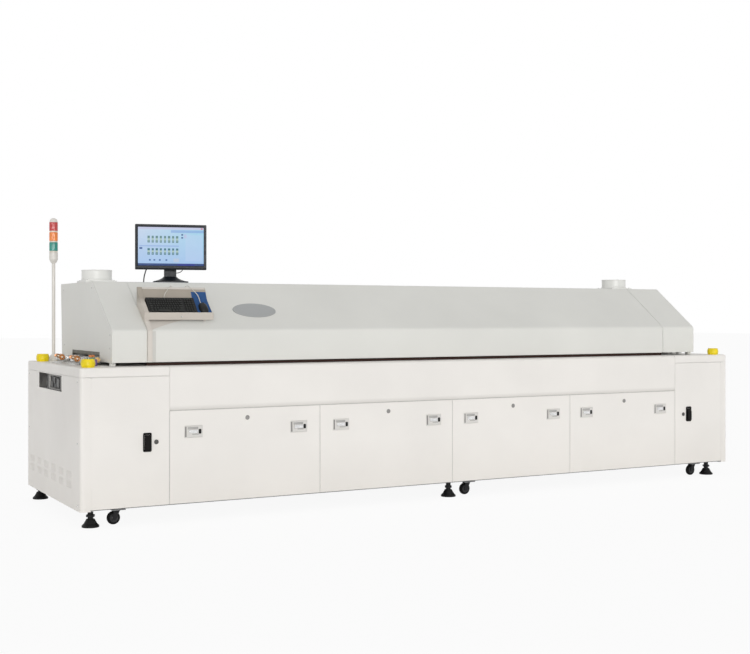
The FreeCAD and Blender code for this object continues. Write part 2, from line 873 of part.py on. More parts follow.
def hood_block(x0, x1, inset, bottom):
    """The hood's cross-section between two X limits, moved inwards by an inset."""
    slope_length = root(s.hood_slope_run * s.hood_slope_run + slope_rise * slope_rise)
    fold_shift = inset * (slope_length - slope_rise) / s.hood_slope_run
    crest_shift = inset * (slope_length - s.hood_slope_run) / slope_rise
    lean = (hood_rear_top - hood_rear_foot) / s.hood_height
    fold = (hood_front + inset, fold_z - fold_shift)
    crest = (slope_top_y + crest_shift, hood_top - inset)
    section = (
        (hood_front + inset, bottom), fold, crest,
        (hood_rear_top - inset, hood_top - inset),
        (hood_rear_foot - inset + (bottom - hood_bottom) * lean, bottom),
    )
    radius = s.hood_fold_radius - inset
    bends = ((radius, lengthwise_at(*fold)), (radius, lengthwise_at(*crest)))
    return pad("YZ_Plane", section, x1 - x0, x=x0, rounds=bends)


def stack_place(side):
    """Middle of an exhaust stack on the hood's flat top."""
    if side == LEFT:
        return s.left_hood_end_length / 2 - hood_end_x, s.stack_back
    return hood_end_x - s.right_stack_inboard, s.stack_back


def hood_end(label, side):
    """A fixed end of the hood: a shell open towards the lifting hood, with the tunnel's mouth."""
    length = s.left_hood_end_length if side == LEFT else s.right_hood_end_length
    x0, x1 = sided(side, hood_end_x - length, hood_end_x)
    inner = (x0 + skin, x1 + skin) if side == LEFT else (x0 - skin, x1 - skin)
    shell = cut(hood_block(x0, x1, as_dim(0), hood_bottom), hood_block(*inner, skin, hood_bottom - skin))
    wall_x = sided(side, hood_end_x - skin * 2, hood_end_x + skin)
    mouth = slab(
        *wall_x, tunnel_y - s.mouth_width / 2, tunnel_y + s.mouth_width / 2,
        hood_bottom - skin, deck_top + s.mouth_height,
    )
    stack_x, stack_y = stack_place(side)
    half = s.stack_radius - s.stack_wall
    vent = slab(
        stack_x - half, stack_x + half, stack_y - half, stack_y + half, hood_top - skin * 2, hood_top + skin,
    )
    foot_x = sided(side, hood_end_x - s.hood_foot_size, hood_end_x - skin / 2)
    foot_top = hood_bottom + s.hood_foot_size
    feet = []
    for y0 in (hood_front + s.hood_foot_size, hood_rear_foot - s.hood_foot_size * 2):
        feet.append(slab(*foot_x, y0, y0 + s.hood_foot_size, deck_top, foot_top))
    node(label, join(cut(shell, mouth, vent), *feet))


def main_hood():
    """The lifting hood: outer shell, an inner liner that carries the zones, and hinge knuckles."""
    x0, x1 = main_hood_left, main_hood_right
    shell = hood_block(x0, x1, as_dim(0), hood_bottom)
    cavity = hood_block(x0 + skin, x1 - skin, skin, liner_top)
    tunnel = slab(
        x0 - skin, x1 + skin, hood_front + skin, hood_rear_foot - skin, hood_bottom - skin, liner_bottom,
    )
    hole_half = s.trough_width / 2
    opening = slab(
        upper_zone_left(), upper_zone_left() + upper_zone_pitch() * ZONE_COUNT,
        tunnel_y - hole_half, tunnel_y + hole_half, liner_bottom - skin, liner_top + skin,
    )
    knuckles = []
    for x in hinge_xs():
        start = x + s.hood_knuckle_length + s.hood_knuckle_gap
        neck = slab(
            start, start + s.hood_knuckle_length, hood_rear_foot - skin / 2, hood_hinge_y,
            hood_hinge_z - s.hood_pin_radius, hood_hinge_z + s.hood_pin_radius,
        )
        barrel = rod("x", start, hood_hinge_y, hood_hinge_z, s.hood_knuckle_radius, s.hood_knuckle_length)
        knuckles.append(cut(join(neck, barrel), hood_pin_bore(start)))
    node("main_hood", join(cut(shell, cavity, tunnel, opening), *knuckles))


def upper_zone_left():
    return main_hood_left + s.trough_end_margin


def upper_zone_pitch():
    return (main_hood_right - main_hood_left - s.trough_end_margin * 2) / ZONE_COUNT


def hood_hinge_pins():
    length = s.hood_knuckle_length * 2 + s.hood_knuckle_gap
    pins = [rod("x", x, hood_hinge_y, hood_hinge_z, s.hood_pin_radius, length) for x in hinge_xs()]
    node("hood_hinge_pins", group(*pins))


def hood_seal():
    strips = []
    for y0 in (hood_front + s.seal_inset, hood_rear_foot - s.seal_inset - s.seal_width):
        strips.append(slab(
            main_hood_left, main_hood_right, y0, y0 + s.seal_width, deck_top, deck_top + s.seal_height,
        ))
    node("hood_seal", group(*strips))


def exhaust_stacks():
    """A bored square plate on each hood end, and the pipe that stands on it."""
    bore = s.stack_radius - s.stack_wall
    half = s.stack_plate / 2
    plate_top = hood_top + s.stack_plate_thickness
    pieces = []
    for side in (LEFT, RIGHT):
        x, y = stack_place(side)
        plate = slab(x - half, x + half, y - half, y + half, hood_top, plate_top)
        pipe = rod("z", x, y, plate_top, s.stack_radius, s.stack_height - s.stack_plate_thickness)
        flue = rod("z", x, y, hood_top - skin, bore, s.stack_height + skin * 2)
        pieces += [cut(plate, flue), cut(pipe, flue)]
    node("exhaust_stacks", group(*pieces))


# Heating zones and conveyor

def zone_box(x0, x1, z0, z1, open_top):
    """A sheet-metal plenum with a closed nozzle face and an open back."""
    y0 = tunnel_y - s.trough_width / 2 - s.zone_lap
    y1 = tunnel_y + s.trough_width / 2 + s.zone_lap
    z2, z3 = (z0 + skin, z1 + skin) if open_top else (z0 - skin, z1 - skin)
    return cut(slab(x0, x1, y0, y1, z0, z1), slab(x0 + skin, x1 - skin, y0 + skin, y1 - skin, z2, z3))


def lower_zone_modules():
    trough_end = seam_x - s.trough_end_margin
    pitch = trough_end * 2 / ZONE_COUNT
    zones = []
    for index in range(ZONE_COUNT):
        x0 = pitch * index - trough_end + s.zone_gap / 2
        x1 = x0 + pitch - s.zone_gap
        zones.append(zone_box(x0, x1, frame_top - s.lower_zone_depth, frame_top, open_top=False))
    node("lower_zone_modules", group(*zones))


def upper_zone_modules():
    zones = []
    for index in range(ZONE_COUNT):
        x0 = upper_zone_left() + upper_zone_pitch() * index + s.zone_gap / 2
        x1 = x0 + upper_zone_pitch() - s.zone_gap
        middle = (x0 + x1) / 2
        z1 = liner_top + s.upper_zone_depth
        bridge = slab(
            middle - s.motor_radius, middle + s.motor_radius,
            tunnel_y - s.trough_width / 2 - s.zone_lap, tunnel_y + s.trough_width / 2 + s.zone_lap,
            z1 - skin, z1,
        )
        motor = rod("z", middle, tunnel_y, z1 - skin, s.motor_radius, s.motor_height)
        zones.append(join(zone_box(x0, x1, liner_top, z1, open_top=True), bridge, motor))
    node("upper_zone_modules", group(*zones))


def rail_bores(y0):
    """Cross holes of a rail for the two guide bars and the width screw."""
    length = s.rail_width * 2
    start = y0 - s.rail_width / 2
    guide = s.guide_radius + s.running_clearance
    return (
        rod("y", -guide_x, start, rail_axis_z, guide, length),
        rod("y", guide_x, start, rail_axis_z, guide, length),
        rod("y", screw_x, start, rail_axis_z, s.screw_radius + s.running_clearance, length),
    )


def conveyor_rails():
    """The fixed front rail, on feet in front of the belt's edge, and the sliding rear rail."""
    feet = []
    for side in (LEFT, RIGHT):
        x0, x1 = sided(side, belt_slot_inner - s.rail_foot_length, belt_slot_inner)
        feet.append(slab(
            x0, x1, front_rail_front, belt_front - s.belt_slot_margin, deck_top, rail_bottom + skin,
        ))
    fixed, moving = [
        slab(-rail_end, rail_end, y0, y0 + s.rail_width, rail_bottom, rail_top)
        for y0 in (front_rail_front, rear_rail_front)
    ]
    node("front_rail", join(cut(fixed, *rail_bores(front_rail_front)), *feet))
    node("rear_rail", cut(moving, *rail_bores(rear_rail_front)))


def rail_guides():
    guides = []
    half = s.guide_block / 2
    for x in (-guide_x, guide_x):
        pieces = [rod("y", x, guide_front + half, rail_axis_z, s.guide_radius, s.guide_span - s.guide_block)]
        for y0 in (guide_front, guide_rear - s.guide_block):
            pieces.append(slab(x - half, x + half, y0, y0 + s.guide_block, deck_top, rail_axis_z + half))
        guides.append(join(*pieces))
    node("rail_guides", group(*guides))


def width_screw():
    start = guide_front - s.screw_overhang
    shaft = rod("y", screw_x, start, rail_axis_z, s.screw_radius, guide_rear - start)
    knob = rod("y", screw_x, start, rail_axis_z, s.screw_knob_radius, s.screw_knob_length)
    node("width_screw", join(shaft, knob))


def belt_roller(label, x):
    shaft_end = s.hanger_gap + s.hanger_thickness
    drum = rod("y", x, belt_front, roller_z, s.roller_radius, s.belt_width)
    shaft = rod(
        "y", x, belt_front - shaft_end, roller_z, s.roller_shaft_radius, s.belt_width + shaft_end * 2,
    )
    node(label, join(drum, shaft))


def belt_loop(radius, y0, width):
    """The solid race-track that a belt of a given outer radius closes round the two rollers."""
    middle = slab(-roller_x, roller_x, y0, y0 + width, roller_z - radius, roller_z + radius)
    ends = [rod("y", x, y0, roller_z, radius, width) for x in (-roller_x, roller_x)]
    return join(middle, *ends)


def mesh_belt():
    outer = belt_loop(belt_outer, belt_front, s.belt_width)
    node("mesh_belt", cut(outer, belt_loop(belt_inner, belt_front - skin, s.belt_width + skin * 2)))


# Signal tower and emergency stops

def signal_tower():
    x = s.tower_end_inset - half_length
    y = rear - s.tower_rear_inset
    lamp_z = s.pole_height
    lens_z = lamp_z + s.lamp_socket_height
    step = s.lens_height + s.lens_ring
    stack_top = lens_z + step * 3
    post = turned((
        (0, 0), (s.pole_foot_radius, 0), (s.pole_foot_radius, s.pole_foot_height / 4),
        (s.pole_radius * 1.4, s.pole_foot_height), (s.pole_radius, s.pole_foot_height),
        (s.pole_radius, lamp_z), (s.lamp_radius * 0.6, lamp_z),
        (s.lamp_radius, lamp_z + s.lamp_socket_height / 3),
        (s.lamp_radius, lens_z), (s.lens_core_radius, lens_z), (s.lens_core_radius, stack_top),
        (s.lamp_radius, stack_top), (s.lamp_radius * 0.8, stack_top + s.lamp_cap_height * 0.7),
        (s.lamp_radius * 0.35, stack_top + s.lamp_cap_height), (0, stack_top + s.lamp_cap_height),
    ), x, y, deck_top)
    node("signal_pole", post)
    core = s.lens_core_radius + s.running_clearance
    lenses = []
    for index in range(3):
        z0 = lens_z + step * index
        ring_top = z0 + s.lens_ring
        lenses.append(turned((
            (core, z0), (s.lamp_radius * 0.94, z0), (s.lamp_radius * 0.94, ring_top),
            (s.lamp_radius, ring_top), (s.lamp_radius, z0 + step), (core, z0 + step),
        ), x, y, deck_top))
    node("signal_lenses", group(*lenses))


def estop_places():
    side_x = half_length - s.estop_end_inset
    return (
        ("left_front", -side_x, front + s.estop_front_inset),
        ("left_rear", -side_x, tunnel_y + s.guide_span / 2 + s.estop_guide_gap),
        ("right_front", side_x - s.estop_end_inset / 2, front + s.estop_front_inset),
    )


def emergency_stops():
    guards = []
    bore = s.button_stem_radius + s.running_clearance
    floor_inner = s.guard_foot_radius - s.guard_wall
    for place_name, x, y in estop_places():
        guards.append(turned((
            (bore, 0), (s.guard_foot_radius, 0), (s.guard_belly_radius, s.guard_height * 0.3),
            (s.guard_belly_radius, s.guard_height * 0.65), (s.guard_rim_radius, s.guard_height),
            (s.guard_rim_radius - s.guard_wall, s.guard_height), (floor_inner, s.guard_floor),
            (bore, s.guard_floor),
        ), x, y, deck_top))
        neck_top = s.button_height / 2
        head = s.button_head_radius
        node("estop_button_" + place_name, turned((
            (0, s.button_stem_seat), (s.button_stem_radius, s.button_stem_seat),
            (s.button_stem_radius, neck_top), (head * 0.9, neck_top), (head, s.button_height * 0.65),
            (head * 0.8, s.button_height * 0.9), (head * 0.4, s.button_height), (0, s.button_height),
        ), x, y, deck_top))
    node("estop_guards", group(*guards))


# Feet and casters

def levelling_feet():
    feet = []
    for y in sided_ys(s.foot_front_inset):
        for x in foot_xs():
            feet.append(turned((
                (0, 0), (s.foot_pad_radius, 0), (s.foot_pad_radius, s.foot_pad_height),
                (s.foot_pad_radius * 0.76, s.foot_bell_height * 0.45),
                (s.foot_stud_radius * 1.5, s.foot_bell_height), (s.foot_stud_radius, s.foot_bell_height),
                (s.foot_stud_radius, base_bottom), (0, base_bottom),
            ), x, y, 0))
    node("levelling_feet", group(*feet))


def caster(number, x, y):
    """A swivel caster: a fork on its stem and axle, and a wheel that trails behind the stem."""
    axle_x = x - s.caster_trail
    axle_z = s.caster_wheel_radius + s.caster_lift
    wheel_half = s.caster_wheel_width / 2
    leg_inner = wheel_half + s.caster_fork_gap
    leg_outer = leg_inner + s.caster_fork_wall
    crown_top = base_bottom - s.caster_plate_thickness - s.running_clearance
    crown_bottom = crown_top - s.caster_crown_thickness
    stem_half = s.caster_stem_radius * 1.5
    crown = slab(axle_x, x + stem_half, y - leg_outer, y + leg_outer, crown_bottom, crown_top)
    leg_foot = s.caster_axle_radius * 2
    leg = (
        (axle_x, crown_top), (axle_x - leg_foot, axle_z + leg_foot), (axle_x - leg_foot, axle_z - leg_foot),
        (axle_x + leg_foot, axle_z - leg_foot), (x + stem_half, crown_top),
    )
    legs = [
        pad("XZ_Plane", leg, s.caster_fork_wall, y=y0 + s.caster_fork_wall)
        for y0 in (y - leg_outer, y + leg_inner)
    ]
    stem = rod("z", x, y, crown_top - skin / 2, s.caster_stem_radius, s.caster_plate_thickness + skin / 2)
    axle = rod("y", axle_x, y - leg_outer, axle_z, s.caster_axle_radius, leg_outer * 2)
    node("caster_fork_%d" % number, join(crown, stem, axle, *legs))
    bore = s.caster_axle_radius + s.running_clearance
    tread = s.caster_wheel_radius
    shoulder = wheel_half * 0.55
    node("caster_wheel_%d" % number, turned((
        (bore, -wheel_half), (tread * 0.8, -wheel_half), (tread * 0.97, -shoulder), (tread, as_dim(0)),
        (tread * 0.97, shoulder), (tread * 0.8, wheel_half), (bore, wheel_half),
    ), axle_x, y, axle_z, X_AXIS, -90))


# Operator console on the hood

tray_left = main_hood_left + s.console_post_width
tray_right = tray_left + s.tray_width
tray_y = hood_front + s.tray_front_offset
tray_z = fold_z + s.tray_front_rise
tray_cos = cosine(s.tray_tilt)
tray_sin = sine(s.tray_tilt)
tray_back_y = tray_y + s.tray_depth * tray_cos
tray_back_z = tray_z + s.tray_depth * tray_sin
riser_y = tray_back_y + s.tray_riser_run
riser_z = tray_back_z + s.tray_riser_rise


def keyboard_tray():
    lip_y = tray_y - skin
    lip_top = tray_z + s.tray_lip_above
    lip_bottom = tray_z - s.tray_lip_below
    sheet_section = (
        (lip_y, lip_bottom), (lip_y, lip_top), (tray_y, lip_top), (tray_y, tray_z),
        (tray_back_y, tray_back_z), (riser_y, riser_z), (riser_y + skin, riser_z),
        (tray_back_y + skin, tray_back_z - skin), (tray_y, tray_z - skin * 1.5), (tray_y, lip_bottom),
    )
    folded = pad("YZ_Plane", sheet_section, s.tray_width, x=tray_left)
    post_front = hood_front - s.console_post_proud
    post_bottom = hood_bottom + s.sill_height
    post_section = (
        (post_front, post_bottom), (post_front, fold_z), (lip_y, lip_bottom), (lip_y, lip_top),
        (tray_back_y, tray_back_z + s.tray_lip_above), (riser_y, riser_z), (riser_y + skin, riser_z),
        (riser_y + skin, slope_z(riser_y + skin)), (hood_front, fold_z), (hood_front, post_bottom),
    )
    post = pad("YZ_Plane", post_section, s.console_post_width, x=main_hood_left)
    bracket_front = tray_y + s.tray_lip_above
    bracket_back = tray_back_y - s.tray_lip_above
    climb = tray_sin / tray_cos
    under_front = tray_z + (bracket_front - tray_y) * climb - skin
    under_back = tray_z + (bracket_back - tray_y) * climb - skin
    bracket_section = (
        (bracket_front, slope_z(bracket_front)), (bracket_front, under_front),
        (bracket_back, under_back), (bracket_back, slope_z(bracket_back)),
    )
    bracket = pad(
        "YZ_Plane", bracket_section, s.console_post_width / 2, x=tray_right - s.console_post_width * 2,
    )
    node("keyboard_tray", join(folded, post, bracket))


def on_tray(up_slope, height):
    """A point of the tray's floor, a distance up its slope and a height square to it."""
    return (
        tray_y + tray_cos * up_slope - tray_sin * height,
        tray_z + tray_sin * up_slope + tray_cos * height,
    )


def keyboard_and_mouse():
    gap = s.desk_clearance
    y, z = on_tray(s.desk_setback, gap)
    case = ((0, 0), (0, s.keyboard_front), (s.keyboard_depth, s.keyboard_back), (s.keyboard_depth, 0))
    node("keyboard", pad(
        "YZ_Plane", case, s.keyboard_width, x=tray_left + skin * 2, y=y, z=z, axis=X_AXIS, angle=s.tray_tilt,
    ))
    mouse_x = tray_right - (s.tray_width - s.keyboard_width) / 2
    y, z = on_tray(s.desk_setback, gap)
    hump = s.mouse_height
    shell = (
        (0, 0), (0, hump * 0.35), (s.mouse_length * 0.25, hump * 0.85), (s.mouse_length * 0.55, hump),
        (s.mouse_length * 0.85, hump * 0.75), (s.mouse_length, hump * 0.25), (s.mouse_length, 0),
    )
    node("mouse", pad(
        "YZ_Plane", shell, s.mouse_width, x=mouse_x - s.mouse_width / 2, y=y, z=z,
        axis=X_AXIS, angle=s.tray_tilt,
    ))


monitor_x = main_hood_left + s.monitor_end_offset
monitor_y = slope_top_y + s.monitor_back_offset
pivot_z = s.stand_pivot_rise
pivot_y = s.monitor_neck_gap + s.stand_knuckle_radius


def monitor_stand():
    """Stand in its own frame, the screen's back at y = 0, then set on the hood and turned."""
    foot_front = s.monitor_neck_gap - s.stand_depth / 2
    foot_back = foot_front + s.stand_depth
    wing_front = foot_front + s.stand_depth * 0.25
    wing_back = foot_front + s.stand_depth * 0.6
    wing = s.stand_width / 2
    foot = pad("XY_Plane", (
        (-wing, wing_front), (-s.stand_neck_width, foot_front), (s.stand_neck_width, foot_front),
        (wing, wing_front), (wing, wing_back), (s.stand_neck_width, foot_back),
        (-s.stand_neck_width, foot_back), (-wing, wing_back),
    ), s.stand_base_height)
    neck_y0 = pivot_y - s.stand_neck_depth / 4
    neck = slab(
        -s.stand_neck_width / 2, s.stand_neck_width / 2, neck_y0, neck_y0 + s.stand_neck_depth,
        s.stand_base_height / 2, pivot_z - s.stand_knuckle_radius * 1.5,
    )
    tongue = slab(
        -s.stand_knuckle_length / 2, s.stand_knuckle_length / 2, neck_y0, neck_y0 + s.stand_knuckle_radius,
        pivot_z - s.stand_knuckle_radius * 2, pivot_z,
    )
    knuckle = rod(
        "x", -s.stand_knuckle_length / 2, pivot_y, pivot_z, s.stand_knuckle_radius, s.stand_knuckle_length,
    )
    pin_reach = s.stand_knuckle_length / 2 + s.monitor_ear_gap + s.monitor_ear_thickness
    pin = rod("x", -pin_reach, pivot_y, pivot_z, s.stand_pivot_radius, pin_reach * 2)
    stand = group(join(foot, neck, tongue, knuckle, pin))
    node("monitor_stand", place(stand, monitor_x, monitor_y, hood_top, Z_AXIS, -s.monitor_yaw))


def monitor():
    half = s.monitor_width / 2
    z0, z1 = s.monitor_rise, s.monitor_rise + s.monitor_height
    y0 = -s.monitor_depth
    case = slab(-half, half, y0, y0 / 2, z0, z1)
    back_half = half * 0.7
    back = slab(-back_half, back_half, y0 * 0.6, 0, z0 + s.monitor_bezel * 2, z1 - s.monitor_bezel * 3)
    screen = slab(
        s.monitor_bezel - half, half - s.monitor_bezel, y0 - skin, y0 + s.monitor_screen_recess,
        z0 + s.monitor_bezel * 1.5, z1 - s.monitor_bezel,
    )
    ears = []
    ear_inner = s.stand_knuckle_length / 2 + s.monitor_ear_gap
    for x0, x1 in (sided(side, ear_inner, ear_inner + s.monitor_ear_thickness) for side in (LEFT, RIGHT)):
        plate = slab(
            x0, x1, -skin, pivot_y + s.stand_knuckle_radius,
            pivot_z - s.stand_knuckle_radius, pivot_z + s.stand_knuckle_radius,
        )
        bore = rod(
            "x", x0 - skin, pivot_y, pivot_z,
            s.stand_pivot_radius + s.running_clearance, s.monitor_ear_thickness + skin * 2,
        )
        ears.append(cut(plate, bore))
    screen_set = group(join(cut(join(case, back), screen), *ears))
    node("monitor", place(screen_set, monitor_x, monitor_y, hood_top, Z_AXIS, -s.monitor_yaw))


# Cords of the console

def cord_tube(points, radius):
    """A round cord on straight runs, with a tangent arc at each turn as large as its runs allow."""
    edges = []
    start = points[0]
    tightest = math.inf
    for before, corner, after in zip(points, points[1:], points[2:]):
        back, ahead = before - corner, after - corner
        reach = 0.45 * min(back.Length, ahead.Length)
        half_turn = (math.pi - back.getAngle(ahead)) / 2
        bend = reach / math.tan(half_turn)
        tightest = min(tightest, bend)
        back.normalize()
        ahead.normalize()
        inward = back + ahead
        inward.normalize()
        centre = corner + inward * (bend / math.cos(half_turn))
        arc_end = corner + ahead * reach
        edges.append(Part.LineSegment(start, corner + back * reach).toShape())
        edges.append(Part.Arc(corner + back * reach, centre - inward * bend, arc_end).toShape())
        start = arc_end
    edges.append(Part.LineSegment(start, points[-1]).toShape())
    path = Part.Wire(edges)
    section = Part.Wire(Part.makeCircle(radius, points[0], points[1] - points[0]))
    tube = path.makePipeShell([section], True, False)
    share = tube.Volume / (math.pi * radius ** 2 * path.Length)
    print("cord %.0f mm long, tightest bend %.1f mm, volume share %.4f" % (path.Length, tightest, share))
    return tube


def cords(label, tubes):
    bundle = doc.addObject("Part::Feature", "Cords")
    bundle.Shape = Part.makeCompound(tubes)
    node(label, bundle)
    return bundle


def monitor_cables():
    """A signal cable from the stand's neck into the hood, and a loop of power cord held by the neck."""
    side_x = s.stand_neck_width.value / 2
    back_y = pivot_y.value + s.stand_neck_depth.value / 4
    signal = (
        (-side_x, 150), (-80, 152), (-122, 136), (-152, 102), (-166, 60), (-172, 22), (-172, 0),
    )
    power = (
        (side_x, 70), (58, 71), (76, 82), (87, 101), (88, 123), (79, 143), (62, 156), (side_x, 158),
    )
    tubes = [
        cord_tube([FreeCAD.Vector(x, back_y, z) for x, z in route], radius)
        for route, radius in ((signal, s.cable_radius.value), (power, s.cord_radius.value))
    ]
    place(cords("monitor_cables", tubes), monitor_x, monitor_y, hood_top, Z_AXIS, -s.monitor_yaw)


def keyboard_cords():
    """The keyboard's and the mouse's cords, up the riser, over its top and down into the hood."""
    keyboard_y, keyboard_z = on_tray(s.desk_setback + s.keyboard_depth, s.keyboard_back / 2)
    mouse_y, mouse_z = on_tray(s.desk_setback + s.mouse_length, s.mouse_height / 8)
    exit_y = riser_y + 45
    over_riser = (
        (-373, 1321), (-366, 1332), (-358, 1349), (-350, 1367), (-341, 1385), (-328, 1399), (-310, 1398),
        (-300, 1383), (-297, 1363), (-299, 1343), (-296, 1324),
    )
    drift = (0, 3, 12, 27, 44, 58, 67, 71, 72, 72, 72, 72)
    keyboard_x = (tray_left + s.keyboard_width * 0.42).value
    mouse_x = (tray_right - (s.tray_width - s.keyboard_width) / 2).value
    end = (exit_y.value, slope_z(exit_y).value)
    along_tray = [(on_tray(as_dim(up), as_dim(4))) for up in (118, 130)]
    keyboard_run = [(keyboard_y.value, keyboard_z.value), *over_riser, end]
    mouse_run = [(mouse_y.value, mouse_z.value), *((y.value, z.value) for y, z in along_tray),
                 *over_riser[1:], end]
    routes = (
        [(keyboard_x + x, y, z) for x, (y, z) in zip((0, *drift), keyboard_run)],
        [(mouse_x - x, y, z) for x, (y, z) in zip((0, 0, *drift), mouse_run)],
    )
    tubes = [
        cord_tube([FreeCAD.Vector(*point) for point in route], s.cord_radius.value) for route in routes
    ]
    cords("keyboard_cords", tubes)


# Build, check and write

base_frame()
end_panel("left_end_panel", LEFT)
end_panel("right_end_panel", RIGHT)
front_fascia()
rear_covers()
deck_plate()
node("end_deck_covers", group(end_deck_cover(LEFT), end_deck_cover(RIGHT)))
for panel_index in range(PANEL_COUNT):
    lower_panel(panel_index)
end_door("left_door", LEFT)
end_door("right_door", RIGHT)
hood_end("left_hood_end", LEFT)
hood_end("right_hood_end", RIGHT)
main_hood()
hood_hinge_pins()
hood_seal()
exhaust_stacks()
lower_zone_modules()
upper_zone_modules()
conveyor_rails()
rail_guides()
width_screw()
belt_roller("inlet_roller", -roller_x)
belt_roller("outlet_roller", roller_x)
mesh_belt()
signal_tower()
emergency_stops()
levelling_feet()
caster_places = [(x, y) for y in sided_ys(s.caster_front_inset) for x in caster_xs()]
for caster_number, (caster_x, caster_y) in enumerate(caster_places, start=1):
    caster(caster_number, caster_x, caster_y)
keyboard_tray()
keyboard_and_mouse()
monitor_stand()
monitor()
monitor_cables()
keyboard_cords()
doc.recompute()

for item in doc.Objects:
    if "Invalid" in item.State or "Error" in item.State:
        raise RuntimeError("%s (%s) failed to build" % (item.Name, item.Label))
for part in nodes:
    if part.Shape.isNull() or not part.Shape.isValid():
        raise RuntimeError("%s has no sound shape" % part.Label)

os.makedirs("parts", exist_ok=True)
for part in nodes:
    part.Shape.exportStep("parts/%s.step" % part.Label)
print("%d nodes written" % len(nodes))
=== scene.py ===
"""Looks of a conveyor reflow oven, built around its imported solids.

Metres; +X along the conveyor, -Y towards the operator, +Z up, origin on the floor.
"""
import logging
import math
from dataclasses import dataclass
from enum import Enum
from typing import Dict, List, Optional, Sequence, Tuple, Union

import bmesh
import bpy
import numpy as np
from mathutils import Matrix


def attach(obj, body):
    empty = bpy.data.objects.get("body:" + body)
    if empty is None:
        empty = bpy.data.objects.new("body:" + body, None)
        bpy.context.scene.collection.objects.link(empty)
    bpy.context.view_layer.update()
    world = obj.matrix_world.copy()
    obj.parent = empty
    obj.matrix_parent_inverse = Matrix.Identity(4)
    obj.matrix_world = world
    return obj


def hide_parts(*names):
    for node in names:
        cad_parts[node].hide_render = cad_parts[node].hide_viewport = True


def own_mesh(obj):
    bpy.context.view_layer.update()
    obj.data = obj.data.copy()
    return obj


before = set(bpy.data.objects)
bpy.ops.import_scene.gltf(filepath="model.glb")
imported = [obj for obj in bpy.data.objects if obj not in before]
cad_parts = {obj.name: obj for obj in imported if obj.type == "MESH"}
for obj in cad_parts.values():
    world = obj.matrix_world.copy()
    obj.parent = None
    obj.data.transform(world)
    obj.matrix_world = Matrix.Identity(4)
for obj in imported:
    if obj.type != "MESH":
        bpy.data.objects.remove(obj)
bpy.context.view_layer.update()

LOG = logging.getLogger("oven")
Colour = Tuple[float, float, float]
Triple = Tuple[float, float, float]
Pair = Tuple[float, float]
Socket = bpy.types.NodeSocket
Material = bpy.types.Material
TINY = 2e-4
FULL_TURN = 2 * math.pi
QUARTER_TURN = math.pi / 2
MIX_FIRST, MIX_SECOND, MIX_COLOUR = 6, 7, 2
MIX_LOW, MIX_HIGH = 2, 3


class Body(str, Enum):
    """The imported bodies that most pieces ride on."""

    BASE = "base"
    HOOD = "hood"
    MONITOR = "monitor"
    REAR_RAIL = "rear_rail"


class Facing(Enum):
    """Axes of a flat place by the side it faces: across, along and out."""

    FRONT = ((1, 0, 0), (0, 0, 1), (0, -1, 0))
    REAR = ((-1, 0, 0), (0, 0, 1), (0, 1, 0))
    LEFT = ((0, -1, 0), (0, 0, 1), (-1, 0, 0))
    RIGHT = ((0, 1, 0), (0, 0, 1), (1, 0, 0))
    TOP = ((1, 0, 0), (0, 1, 0), (0, 0, 1))

    def at(self, origin: Triple = (0, 0, 0)) -> "Place":
        """A place that faces this way."""
        return Place(origin, self.value)


@dataclass(frozen=True)
class Place:
    """A place in the shared frame: an origin and three axes."""

    origin: Triple
    axes: Tuple[Triple, Triple, Triple] = Facing.TOP.value

    def out(self, points: np.ndarray) -> np.ndarray:
        """Local points in the shared frame: the origin plus the points times the axes."""
        return np.asarray(self.origin, float) + points @ np.asarray(self.axes, float)


@dataclass
class Surface:
    """Points of a surface and its four-cornered faces, as whole arrays."""

    points: np.ndarray
    faces: np.ndarray

    def at(self, place: Place) -> "Surface":
        """The same surface set in a place."""
        return Surface(place.out(self.points), self.faces)

    def copies(self, offsets: np.ndarray) -> "Surface":
        """One copy of the surface at each offset.

        Args:
            offsets: One row of x, y, z for each copy.

        Returns:
            All the copies as one surface.
        """
        offsets = np.asarray(offsets, float)
        shift = np.arange(len(offsets)) * len(self.points)
        points = (offsets[:, None, :] + self.points[None]).reshape(-1, 3)
        faces = (shift[:, None, None] + self.faces[None]).reshape(-1, 4)
        return Surface(points, faces)


def joined(*surfaces: Surface) -> Surface:
    """Several surfaces as one, each one's faces counted on from the last one's points.

    Args:
        surfaces: The surfaces, in order.

    Returns:
        The surface.
    """
    starts = np.cumsum([0] + [len(part.points) for part in surfaces[:-1]])
    points = np.concatenate([part.points for part in surfaces])
    faces = np.concatenate([part.faces + start for part, start in zip(surfaces, starts)])
    return Surface(points, faces)


def grid(points: np.ndarray, closed: bool = False) -> Surface:
    """Faces between neighbouring rows and columns of a grid of points.

    Args:
        points: Rows by columns by 3.
        closed: Joins each row's end to its start.

    Returns:
        The surface.
    """
    rows, columns = points.shape[:2]
    number = np.arange(rows * columns).reshape(rows, columns)
    if closed:
        number = np.concatenate([number, number[:, :1]], axis=1)
    corners = (number[:-1, :-1], number[:-1, 1:], number[1:, 1:], number[1:, :-1])
    return Surface(points.reshape(-1, 3), np.stack(corners, axis=-1).reshape(-1, 4))


def capped(rows: np.ndarray) -> Surface:
    """Closed rows of points as a tube, with each end drawn in to its middle.

    Args:
        rows: Rows by points by 3.

    Returns:
        The surface.
    """
    ends = np.repeat(rows[[0, -1]].mean(axis=1, keepdims=True), rows.shape[1], axis=1)
    return grid(np.concatenate([ends[:1], rows, ends[1:]]), True)


